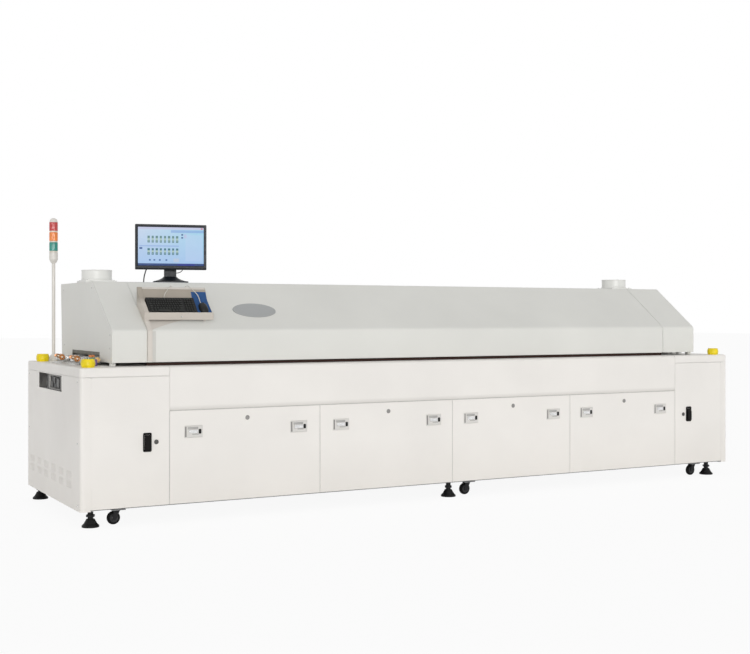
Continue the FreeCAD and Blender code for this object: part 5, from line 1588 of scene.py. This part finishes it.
@dataclass
class Console:
    """Keyboard tray, keyboard, mouse on its mat, and the monitor on its stand."""

    tray_left: float = -2.037
    tray_right: float = -1.627
    tray_y: float = -0.477
    tray_z: float = 1.215
    tilt: float = math.radians(41)
    tray_depth: float = 0.145
    riser: Pair = (0.038, 0.078)
    mat_half: float = 0.0485
    mat_climb: float = 0.056
    mat_top: float = 0.0016
    slope_sheet_width: float = 0.30
    slope_sheet_heights: Pair = (1.2, 0.068)
    slope_foot: Pair = (-0.533, 1.125)
    slope_share: float = 0.411 / 0.300
    band_left: float = -2.0365
    band_width: float = 0.024
    band_heights: Pair = (0.936, 1.121)
    setback: float = 0.012
    key_pitch: float = 0.0154
    row_pitch: float = 0.0186
    key_gaps: Pair = (0.0008, 0.0009)
    key_corner: float = 0.0016
    main_keys: float = 14.0
    number_keys: float = 14.6
    keyboard_left: float = -2.031
    keyboard_width: float = 0.305
    keyboard_lean: float = math.atan2(0.012, 0.126)
    keyboard_front: float = 0.0122
    keys_offset: Triple = (0.0085, 0.0055, 0.0008)
    mouse_half: Pair = (0.028, 0.048)
    mouse_height: float = 0.030
    wheel_offset: Triple = (0, 0.026, 0.0205)
    monitor_at: Triple = (-1.694, 0.126, 1.425)
    monitor_yaw: float = math.radians(14)
    neck_y: float = 0.028
    screen_half: Pair = (0.213, 0.12575)
    screen_middle: float = 0.24125
    case_half: Pair = (0.230, 0.147)
    case_middle: float = 0.237
    screen_front: float = -0.040
    screen_recess: float = 0.0017

    def dress_nodes(self) -> None:
        """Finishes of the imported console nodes."""
        dress({"keyboard_tray": CONSOLE_COAT, "keyboard": BLACK, "monitor": BEZEL, "monitor_stand": BEZEL})

    def on_tray(self, x: float, up: float, lean: float = 0.0, rise: float = 0.0) -> Place:
        """A place on the tray's floor.

        Args:
            x: Place along the tray.
            up: Distance up its slope.
            lean: Extra tilt over the tray's own.
            rise: Height over its floor.

        Returns:
            The place, its axes along the tray, up the slope and out of it.
        """
        c, s = math.cos(self.tilt), math.sin(self.tilt)
        origin = (x, self.tray_y + c * up - s * rise, self.tray_z + s * up + c * rise)
        c, s = math.cos(self.tilt + lean), math.sin(self.tilt + lean)
        return Place(origin, ((1, 0, 0), (0, c, s), (0, -s, c)))

    def key_spans(self) -> np.ndarray:
        """Start, width and row of every key in key pitches: main block and number block.

        Returns:
            Keys by 3.
        """
        widths = (
            [1.5, 1.25, 6.0, 1.25, 1.25, 2.75],
            [1.25] + [1] * 9 + [1.75],
            [1.75] + [1] * 10 + [2.25],
            [1.5] + [1] * 11 + [1.5],
            [1] * 13 + [2],
            [1] + [1.1] * 12,
        )
        keys: List[Triple] = []
        for row, spans in enumerate(widths):
            scale = self.main_keys / sum(spans)
            starts = np.cumsum([0, *spans[:-1]]) * scale
            keys += [(start, width * scale, row) for start, width in zip(starts, spans)]
            keys += [(self.number_keys + column, 1.0, row) for column in range(4)]
        return np.array(keys)

    def keycaps(self) -> Surface:
        """Every keycap at once: rounded rings at four levels, each ring set by its key's own half sizes.

        Returns:
            The surface.
        """
        start, width, row = self.key_spans().T
        middle = np.stack([(start + width / 2) * self.key_pitch, (row + 0.5) * self.row_pitch], -1)
        half = np.stack([width * self.key_pitch, np.full_like(width, self.row_pitch)], -1) / 2 - self.key_gaps
        corner, quarter = ring((1, 1), 0.0, 3), ring((0, 0), self.key_corner, 3)
        inset, height = np.array(((0, 0.0), (0.0002, 0.0035), (0.0018, 0.0062), (0.0028, 0.0060))).T
        reach = half[:, None, None] - inset[:, None, None] - self.key_corner
        flat = corner * reach + quarter + middle[:, None, None]
        level = np.broadcast_to(height[:, None, None], (*flat.shape[:3], 1))
        caps = [capped(rings) for rings in np.concatenate([flat, level], -1)]
        return joined(*caps)

    def build_keyboard(self) -> None:
        """Keycaps on the keyboard's case, and three status pips above the number block."""
        across, up, rise = self.keys_offset
        top = self.on_tray(
            self.keyboard_left + across, self.setback + up, self.keyboard_lean, self.keyboard_front + rise)
        make("keycaps", self.keycaps().at(top), KEYCAP, Body.HOOD)
        pips = lathe(((0, 0), (0.0012, 0), (0.0012, 0.0004), (0, 0.0005)), 8)
        spots = np.array([(0.245 + 0.012 * k, 0.1145, 0.0) for k in range(3)])
        make("keyboard_status_pips", pips.copies(spots).at(top), SENSOR_GREEN, Body.HOOD)

    def mouse_shell(self) -> Surface:
        """A mouse: plan from a rounded oval, height from a dome whose crown lies behind the middle.

        Returns:
            The surface.
        """
        share = np.array([0, 0.18, 0.36, 0.54, 0.7, 0.83, 0.92, 0.975, 1.0, 1.0, 0.0])[:, None]
        turn = np.linspace(0, FULL_TURN, 56, endpoint=False)[None, :]
        c, s = np.cos(turn), np.sin(turn)
        squareness = (np.abs(c) ** 2.6 + np.abs(s) ** 2.6) ** (-1 / 2.6)
        x = share * self.mouse_half[0] * c * squareness * (1 - 0.07 * s)
        y = share * self.mouse_half[1] * s * squareness
        dome = (1 - np.clip(share, 0, 1) ** 2.7) ** 0.62 * (1 - 0.16 * (y / self.mouse_half[1] + 0.25) ** 2)
        z = 0.004 + (self.mouse_height - 0.004) * dome + 0 * turn
        groove = np.exp(-(x / 0.0011) ** 2) * (y > 0.012)
        z = z - 0.0007 * groove
        z[-2:] = 0.0
        return grid(np.stack([x, y, z], -1), True)

    def mouse_mat(self, middle: float) -> Surface:
        """A thin mat on the tray that bends up its riser.

        Its line is straight up the tray, a quadratic bend and straight up the riser; each point of
        the section is the line's point plus its normal times a height.

        Args:
            middle: Place along the tray.

        Returns:
            The surface.
        """
        floor = np.array([math.cos(self.tilt), math.sin(self.tilt)])
        wall = np.array(self.riser) / math.hypot(*self.riser)
        start = np.array([self.tray_y, self.tray_z])
        corner = start + floor * self.tray_depth
        t = np.linspace(0, 1, 13)[:, None]
        foot, head = corner - floor * 0.018, corner + wall * 0.018
        bend = (1 - t) ** 2 * foot + 2 * t * (1 - t) * (corner + (wall - floor) * 0.001) + t ** 2 * head
        line = np.concatenate([[start + floor * 0.006], bend, [corner + wall * self.mat_climb]])
        way = np.gradient(line, axis=0)
        normal = np.stack([-way[:, 1], way[:, 0]], -1) / np.linalg.norm(way, axis=1, keepdims=True)
        top = self.mat_top
        section = np.array([
            (-1, 0.0002), (1, 0.0002), (1, 0.0012), (0.985, top), (-0.985, top), (-1, 0.0012)])
        flat = line[:, None] + normal[:, None] * section[:, 1:]
        across = np.broadcast_to(middle + self.mat_half * section[:, :1], (*flat.shape[:2], 1))
        return capped(np.concatenate([across, flat], axis=2))

    def mouse_wheel(self) -> Surface:
        """The ribbed wheel: rings about X whose radius steps in and out with the ribs.

        Returns:
            The surface.
        """
        turn = np.linspace(0, FULL_TURN, 48, endpoint=False)
        ribs = 1 + 0.05 * np.sign(np.cos(12 * turn))
        x, r = np.array((
            (-0.0032, 0), (-0.0032, 0.0072), (-0.0022, 0.0082), (0.0022, 0.0082), (0.0032, 0.0072),
            (0.0032, 0))).T
        reach = r[:, None] * ribs
        return grid(np.stack([x[:, None] + 0 * reach, reach * np.cos(turn), reach * np.sin(turn)], -1), True)

    def build_mouse(self) -> None:
        """The blue mat, the mouse in place of its plain solid, and its ribbed wheel."""
        middle = (self.tray_right + self.keyboard_left + self.keyboard_width) / 2
        make("mouse_mat", self.mouse_mat(middle), MOUSE_MAT, Body.HOOD)
        place = self.on_tray(middle, self.setback + self.mouse_half[1], 0, self.mat_top)
        shell = self.mouse_shell().at(place)
        make("mouse_shell", shell, BLACK, Body.HOOD, sharp=60, replaces=("mouse",))
        wheel = self.mouse_wheel().at(Place(self.wheel_offset))
        make("mouse_wheel", wheel.at(place), HUB, Body.HOOD)

    def monitor_place(self, height: float, depth: float) -> Place:
        """A place on the monitor's front, its axes across, up and towards the operator.

        Args:
            height: Height over the stand's foot.
            depth: Distance behind the monitor's middle.

        Returns:
            The place.
        """
        c, s = math.cos(self.monitor_yaw), math.sin(self.monitor_yaw)
        x, y, z = self.monitor_at
        return Place((x + s * depth, y + c * depth, z + height), ((c, -s, 0), (0, 0, 1), (-s, -c, 0)))

    def display(self, u: np.ndarray, v: np.ndarray) -> np.ndarray:
        """A plain control page: a pale blue field, bars, two rows of zone columns, dots and a dark strip.

        Args:
            u: Share of the way across.
            v: Share of the way up.

        Returns:
            Red, green and blue for each point.
        """
        field = np.stack([0.42 + 0.22 * (1 - u) * v, 0.62 + 0.14 * v, 0.93 + 0 * u], -1)

        def put(mask: np.ndarray, colour: Colour, share: float = 1.0) -> None:
            """Lays a colour over the points of a mask."""
            field[mask] = field[mask] * (1 - share) + np.array(colour) * share

        def inside(u0: float, u1: float, v0: float, v1: float) -> np.ndarray:
            """The points of a rectangle."""
            return (u >= u0) & (u <= u1) & (v >= v0) & (v <= v1)

        put(inside(0, 1, 0.94, 1), (0.62, 0.66, 0.86))
        put(inside(0.5, 1, 0.86, 0.93), (0.22, 0.38, 0.78), 0.6)
        put(inside(0.955, 0.985, 0.95, 0.99), (0.65, 0.25, 0.30))
        put(inside(0.02, 0.62, 0.50, 0.53), (0.30, 0.45, 0.80), 0.7)
        for column in range(8):
            left = 0.145 + 0.0615 * column
            for foot, body in ((0.60, (0.14, 0.28, 0.28)), (0.28, (0.06, 0.20, 0.25))):
                put(inside(left, left + 0.034, foot, foot + 0.17), body)
                put(inside(left, left + 0.034, foot + 0.06, foot + 0.115), (0.46, 0.62, 0.56))
                put(inside(left + 0.010, left + 0.024, foot + 0.02, foot + 0.05), (0.35, 0.52, 0.56))
        for left in (0.165, 0.235, 0.315, 0.415):
            put(inside(left, left + 0.026, 0.125, 0.165), (0.05, 0.14, 0.38))
        put(inside(0.54, 0.62, 0.10, 0.19), (0.55, 0.66, 0.84))
        put(inside(0.655, 0.685, 0.79, 0.83) | inside(0.655, 0.685, 0.71, 0.75), (0.05, 0.10, 0.28))
        put(inside(0.70, 0.74, 0.72, 0.82), (0.55, 0.62, 0.85))
        put(inside(0.02, 0.065, 0.43, 0.47), (0.05, 0.12, 0.34))
        put(inside(0.72, 0.98, 0.12, 0.80), (0.60, 0.72, 0.97), 0.35)
        put(inside(0, 1, 0, 0.055), (0.02, 0.06, 0.22))
        put(inside(0.60, 0.86, 0, 0.055), (0.02, 0.04, 0.28))
        return field

    def build_screen(self) -> None:
        """The lit screen, its colours kept on its points."""
        u, v = np.meshgrid(np.linspace(0, 1, 221), np.linspace(0, 1, 131))
        wide, high = self.screen_half
        place = self.monitor_place(self.screen_middle, self.screen_front + self.screen_recess)
        face = grid(np.stack([(2 * u - 1) * wide, (2 * v - 1) * high, 0 * u], -1)).at(place)
        screen = make("monitor_screen", face, DISPLAY, Body.MONITOR, closed=False)
        colours = screen.data.attributes.new(DISPLAY.attribute, "FLOAT_COLOR", "POINT")
        shown = self.display(u.ravel(), v.ravel())
        shown = np.concatenate([shown, np.ones((len(shown), 1))], axis=1)
        colours.data.foreach_set("color", shown.astype(np.float32).ravel())

    def front_frame(self) -> Surface:
        """The frame round the screen: rings between the screen's edge and the case's, each at a height.

        Returns:
            The surface.
        """
        inner = ring(self.screen_half, 0.001, 5) + np.array([0, self.screen_middle - self.case_middle])
        outer = ring((self.case_half[0] + 0.0012, self.case_half[1] + 0.0012), 0.006, 5)
        rows = (
            (inner, -0.0018), (inner, 0.0008), (inner + (outer - inner) * 0.12, 0.0022),
            (inner + (outer - inner) * 0.8, 0.0022), (outer, -0.0008), (outer, -0.012),
            (outer * 0.992, -0.012), (inner, -0.0018))
        return grid(np.stack([lifted(outline, height) for outline, height in rows]), True)

    def build_monitor(self) -> None:
        """A rounded front frame round the screen, a row of buttons under it, and ribs on the rear."""
        front = self.monitor_place(self.case_middle, self.screen_front)
        make("monitor_front_frame", self.front_frame().at(front), BEZEL, Body.MONITOR)
        key = block((0.0062, 0.0022), ((0, 0), (0, 0.0008), (0.0006, 0.0013)), 0.0018)
        spots = np.array([(0.13 + 0.018 * k, 0.0105 - self.case_half[1], 0.0019) for k in range(5)])
        make("monitor_buttons", key.copies(spots).at(front), HUB, Body.MONITOR)
        rear = self.monitor_place(self.case_middle, 0.0)
        turned = Place(rear.origin, tuple(map(tuple, np.array(rear.axes) * [[-1], [1], [-1]])))
        rib = block((0.055, 0.0016), ((0, 0), (0, 0.0006), (0.0006, 0.001)), 0.0015)
        spots = np.array([(side * 0.085, 0.045 + 0.008 * k, 0) for side in (-1, 1) for k in range(5)])
        make("monitor_rear_ribs", rib.copies(spots).at(turned), BLACK, Body.MONITOR)

    def build_stand_cover(self) -> None:
        """A hill over the stand's foot: rounded rings that draw in round the neck as they climb."""
        levels = (
            (0.1085, 0.052, 0.0141), (0.1085, 0.052, 0.0155), (0.092, 0.047, 0.0195), (0.072, 0.037, 0.026),
            (0.054, 0.025, 0.035), (0.0415, 0.0145, 0.046))
        cover = capped(np.stack([lifted(ring((x, y), min(x, y) * 0.9, 8), z) for x, y, z in levels]))
        c, s = math.cos(self.monitor_yaw), math.sin(self.monitor_yaw)
        x, y, z = self.monitor_at
        place = Place((x + s * self.neck_y, y + c * self.neck_y, z), ((c, -s, 0), (s, c, 0), (0, 0, 1)))
        make("stand_cover", cover.at(place), BEZEL, Body.HOOD, sharp=50)

    def back_lip(self) -> Surface:
        """The folded lip along the riser's top: a low rounded bar on the riser's face.

        Returns:
            The surface.
        """
        length = math.hypot(*self.riser)
        run, rise = self.riser[0] / length, self.riser[1] / length
        x, foot_y, foot_z = self.on_tray((self.tray_left + self.tray_right) / 2, self.tray_depth).origin
        up = length - 0.0072
        axes = ((1, 0, 0), (0, run, rise), (0, -rise, run))
        place = Place((x, foot_y + run * up, foot_z + rise * up), axes)
        half = ((self.tray_right - self.tray_left) / 2 - 0.002, 0.0068)
        return block(half, ((0, 0.0002), (0, 0.0014), (0.0008, 0.0022)), 0.003).at(place)

    def slope_sheet(self) -> Surface:
        """A thin sheet in the console's coat lying flat on the slope under the tray: its lower edge falls as
        a power of the way left.

        Returns:
            The surface.
        """
        u, v = np.meshgrid(np.linspace(0, 1, 33), np.linspace(0, 1, 5))
        head, drop = self.slope_sheet_heights
        x = self.tray_left + 0.004 + u * self.slope_sheet_width
        z = head - drop * (1 - u) ** 1.4 * (1 - v) - 0.002 * (1 - v)
        y = self.slope_foot[0] + (z - self.slope_foot[1]) * self.slope_share
        inside, outside = np.stack([x, y - 0.0002, z], -1), np.stack([x, y - 0.0022, z], -1)
        rim = [grid(np.stack([inside[k], outside[k]])) for k in (0, -1)]
        ends = [grid(np.stack([inside[:, k], outside[:, k]])) for k in (0, -1)]
        return joined(grid(outside), grid(inside), *rim, *ends)

    def post_band(self) -> Surface:
        """A narrow plate on the hood's front beside the console's post: a low rounded bar.

        Returns:
            The surface.
        """
        foot, head = self.band_heights
        half = (self.band_width / 2, (head - foot) / 2)
        place = Facing.FRONT.at((self.band_left + half[0], self.slope_foot[0], (foot + head) / 2))
        return block(half, ((0, 0.0002), (0, 0.001), (0.0008, 0.0016)), 0.003).at(place)

    def build_tray_edges(self) -> None:
        """The riser's pale top lip, the sheet lying on the slope under the tray and the band beside the post.
        """
        make("console_post_band", self.post_band(), CONSOLE_BAND, Body.HOOD)
        make("tray_back_lip", self.back_lip(), CONSOLE_EDGE, Body.HOOD)
        make("tray_slope_sheet", self.slope_sheet(), CONSOLE_COAT, Body.HOOD)

    def build_tray_knob(self) -> None:
        """A small turned knob in the middle of the tray's front lip."""
        knob = lathe((
            (0.0052, 0), (0.0052, 0.002), (0.004, 0.004), (0.0046, 0.007), (0.003, 0.0086), (0, 0.009)), 20)
        middle = (self.tray_left + self.tray_right) / 2
        place = Facing.FRONT.at((middle, self.tray_y - 0.003, self.tray_z - 0.008))
        make("tray_knob", knob.at(place), STEEL, Body.HOOD)


@dataclass(frozen=True)
class CordRun:
    """A free cord on the console: its route's points, thickness, length and finish."""

    name: str
    points: Tuple[Triple, ...]
    diameter: float
    length: float
    finish: Finish
    node: str
    slot: str

    def build(self) -> bpy.types.Object:
        """A round cord on a smooth spline through its route's points.

        Returns:
            The cord's object.
        """
        curve = bpy.data.curves.new(self.name, "CURVE")
        curve.dimensions = "3D"
        curve.bevel_depth = self.diameter / 2
        curve.bevel_resolution = 4
        curve.use_fill_caps = True
        spline = curve.splines.new("NURBS")
        spline.points.add(len(self.points) - 1)
        weighted = np.concatenate([np.array(self.points), np.ones((len(self.points), 1))], axis=1)
        spline.points.foreach_set("co", weighted.astype(np.float32).ravel())
        spline.order_u = 3
        spline.use_endpoint_u = True
        spline.resolution_u = 10
        curve.materials.append(self.finish.material())
        cord = bpy.data.objects.new(self.name, curve)
        bpy.context.scene.collection.objects.link(cord)
        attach(cord, Body.HOOD)
        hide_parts(self.node)
        LOG.info("cord %s: %.0f mm", self.name, self.length * 1000)
        return cord


@dataclass
class Cords:
    """The console's four cords, on the same routes as their solids."""

    console: Console
    neck_side: float = 0.0395
    landing: float = 0.045
    keyboard_x: float = -1.9089
    mouse_x: float = -1.6795
    over_riser: Tuple[Pair, ...] = (
        (-0.373, 1.321), (-0.366, 1.332), (-0.358, 1.349), (-0.350, 1.367), (-0.341, 1.385), (-0.328, 1.399),
        (-0.310, 1.398), (-0.300, 1.383), (-0.297, 1.363), (-0.299, 1.343), (-0.296, 1.324))
    drift: Tuple[float, ...] = (
        0, 0.003, 0.012, 0.027, 0.044, 0.058, 0.067, 0.071, 0.072, 0.072, 0.072, 0.072)

    def by_neck(self, route: Sequence[Pair]) -> Tuple[Triple, ...]:
        """Points across and above the monitor's foot, turned with the monitor.

        Args:
            route: Pairs of across and above.

        Returns:
            The route's points.
        """
        desk = self.console
        c, s = math.cos(desk.monitor_yaw), math.sin(desk.monitor_yaw)
        x0, y0, z0 = desk.monitor_at
        return tuple((x0 + c * x + s * desk.neck_y, y0 - s * x + c * desk.neck_y, z0 + z) for x, z in route)

    def landing_point(self) -> Pair:
        """Where the tray's cords meet the hood's slope behind the riser, as Y and Z.

        Returns:
            The point.
        """
        desk = self.console
        y = desk.on_tray(0, desk.tray_depth).origin[1] + desk.riser[0] + self.landing
        return y, desk.slope_foot[1] + (y - desk.slope_foot[0]) / desk.slope_share

    def build(self) -> None:
        """Signal cable, power loop, keyboard cord and mouse cord."""
        side, desk, end = self.neck_side, self.console, self.landing_point()
        signal = self.by_neck((
            (-side, 0.150), (-0.080, 0.152), (-0.122, 0.136), (-0.152, 0.102), (-0.166, 0.060),
            (-0.172, 0.022), (-0.172, 0)))
        power = self.by_neck((
            (side, 0.070), (0.058, 0.071), (0.076, 0.082), (0.087, 0.101), (0.088, 0.123), (0.079, 0.143),
            (0.062, 0.156), (side, 0.158)))
        plug = desk.on_tray(0, 0.138, 0, 0.012).origin[1:]
        nose = [
            desk.on_tray(0, up, 0, rise).origin[1:]
            for up, rise in ((0.108, 0.00375), (0.118, 0.004), (0.130, 0.004))]
        keyboard_run, mouse_run = (plug, *self.over_riser, end), (*nose, *self.over_riser[1:], end)
        keyboard_route = tuple(
            (self.keyboard_x + x, *point) for x, point in zip((0, *self.drift), keyboard_run))
        mouse_route = tuple((self.mouse_x - x, *point) for x, point in zip((0, 0, *self.drift), mouse_run))
        runs = (
            CordRun("monitor_signal_cable", signal, 0.008, 0.234, CABLE, "monitor_cables", "cable_black"),
            CordRun("monitor_power_cord", power, 0.005, 0.147, CABLE, "monitor_cables", "cable_black"),
            CordRun("keyboard_cord", keyboard_route, 0.005, 0.235, CORD, "keyboard_cords", "cord_pale"),
            CordRun("mouse_cord", mouse_route, 0.005, 0.266, CORD, "keyboard_cords", "cord_pale"),
        )
        for run in runs:
            run.build()


@dataclass
class Studio:
    """Pale floor, soft light and the camera at the photograph's angle."""

    camera_at: Triple = (-4.288, -7.3795, 1.208)
    heading: float = math.radians(28.82)
    sensor: float = 36
    lens: float = 57.1
    far: float = 300
    shift_up: float = -0.014
    floor_half: float = 60.0
    sky_low: float = 1.16
    sky_high: float = 0.22

    def build_floor(self) -> None:
        """A wide flat sheet that isn't part of the object."""
        u, v = np.meshgrid(np.linspace(-1, 1, 9), np.linspace(-1, 1, 9))
        sheet = grid(np.stack([u * self.floor_half, v * self.floor_half, 0 * u], -1))
        mesh = bpy.data.meshes.new("floor")
        mesh.from_pydata(sheet.points.tolist(), [], sheet.faces.tolist())
        mesh.materials.append(FLOOR.material())
        floor = bpy.data.objects.new("floor", mesh)
        bpy.context.scene.collection.objects.link(floor)

    def build_world(self) -> None:
        """A soft sky, brighter low down than overhead, that looks white where it is seen."""
        world = bpy.data.worlds.new("studio")
        world.use_nodes = True
        nodes, links = world.node_tree.nodes, world.node_tree.links
        split = nodes.new("ShaderNodeSeparateXYZ")
        links.new(nodes.new("ShaderNodeTexCoord").outputs["Generated"], split.inputs["Vector"])
        light = nodes.new("ShaderNodeMapRange")
        light.inputs["To Min"].default_value = self.sky_low
        light.inputs["To Max"].default_value = self.sky_high
        links.new(split.outputs["Z"], light.inputs["Value"])
        strength = nodes.new("ShaderNodeMix")
        links.new(rays_that_see(nodes, links), strength.inputs[0])
        links.new(light.outputs["Result"], strength.inputs[MIX_LOW])
        strength.inputs[MIX_HIGH].default_value = 1.0
        background = nodes["Background"]
        background.inputs["Color"].default_value = (1, 1, 1, 1)
        links.new(strength.outputs[0], background.inputs["Strength"])
        bpy.context.scene.world = world

    def sun(self, name: str, azimuth: float, elevation: float, strength: float, spread: float) -> None:
        """A broad soft lamp from one direction.

        Args:
            name: The lamp's name.
            azimuth: Degrees from the front towards the right.
            elevation: Degrees above the floor.
            strength: Its power.
            spread: Its width in degrees.
        """
        lamp = bpy.data.lights.new(name, "SUN")
        lamp.energy = strength
        lamp.angle = math.radians(spread)
        holder = bpy.data.objects.new(name, lamp)
        holder.rotation_euler = (math.radians(90 - elevation), 0, math.radians(azimuth))
        bpy.context.scene.collection.objects.link(holder)

    def build_lights(self) -> None:
        """A low broad key from the front, a little to the left."""
        self.sun("key", azimuth=-18, elevation=4, strength=1.55, spread=24)

    def build_camera(self) -> None:
        """The camera at the photograph's place and angle."""
        data = bpy.data.cameras.new("camera")
        data.sensor_width = self.sensor
        data.lens = self.lens
        data.shift_y = self.shift_up
        data.clip_end = self.far
        camera = bpy.data.objects.new("camera", data)
        camera.location = self.camera_at
        camera.rotation_euler = (QUARTER_TURN, 0, -self.heading)
        bpy.context.scene.collection.objects.link(camera)
        bpy.context.scene.camera = camera

    def build(self) -> None:
        """Floor, world, lamps, camera and a plain view transform."""
        self.build_floor()
        self.build_world()
        self.build_lights()
        self.build_camera()
        bpy.context.scene.view_settings.view_transform = "Standard"


def main() -> None:
    """Builds the studio and dresses each sub-assembly in order."""
    logging.basicConfig(level=logging.INFO, format="%(message)s")
    Studio().build()
    console = Console()
    Cords(console).build()
    cabinet = Cabinet()
    cabinet.dress_nodes()
    cabinet.build_panel_fittings()
    cabinet.build_door_fittings()
    cabinet.build_seals()
    cabinet.build_corner_lips()
    cabinet.build_rear()
    cabinet.build_screws()
    hood = Hood()
    hood.dress_nodes()
    hood.build_badge()
    hood.build_stacks()
    hood.build_end_seal()
    hood.build_end_screws()
    conveyor = Conveyor()
    conveyor.dress_nodes()
    conveyor.build_chains()
    conveyor.build_rail_ends()
    conveyor.build_inlet()
    conveyor.build_tensioner()
    SignalTower().build()
    EmergencyStops().build()
    RunningGear().build()
    console.dress_nodes()
    console.build_keyboard()
    console.build_mouse()
    console.build_screen()
    console.build_monitor()
    console.build_stand_cover()
    console.build_tray_edges()
    console.build_tray_knob()


if __name__ == "__main__":
    main()
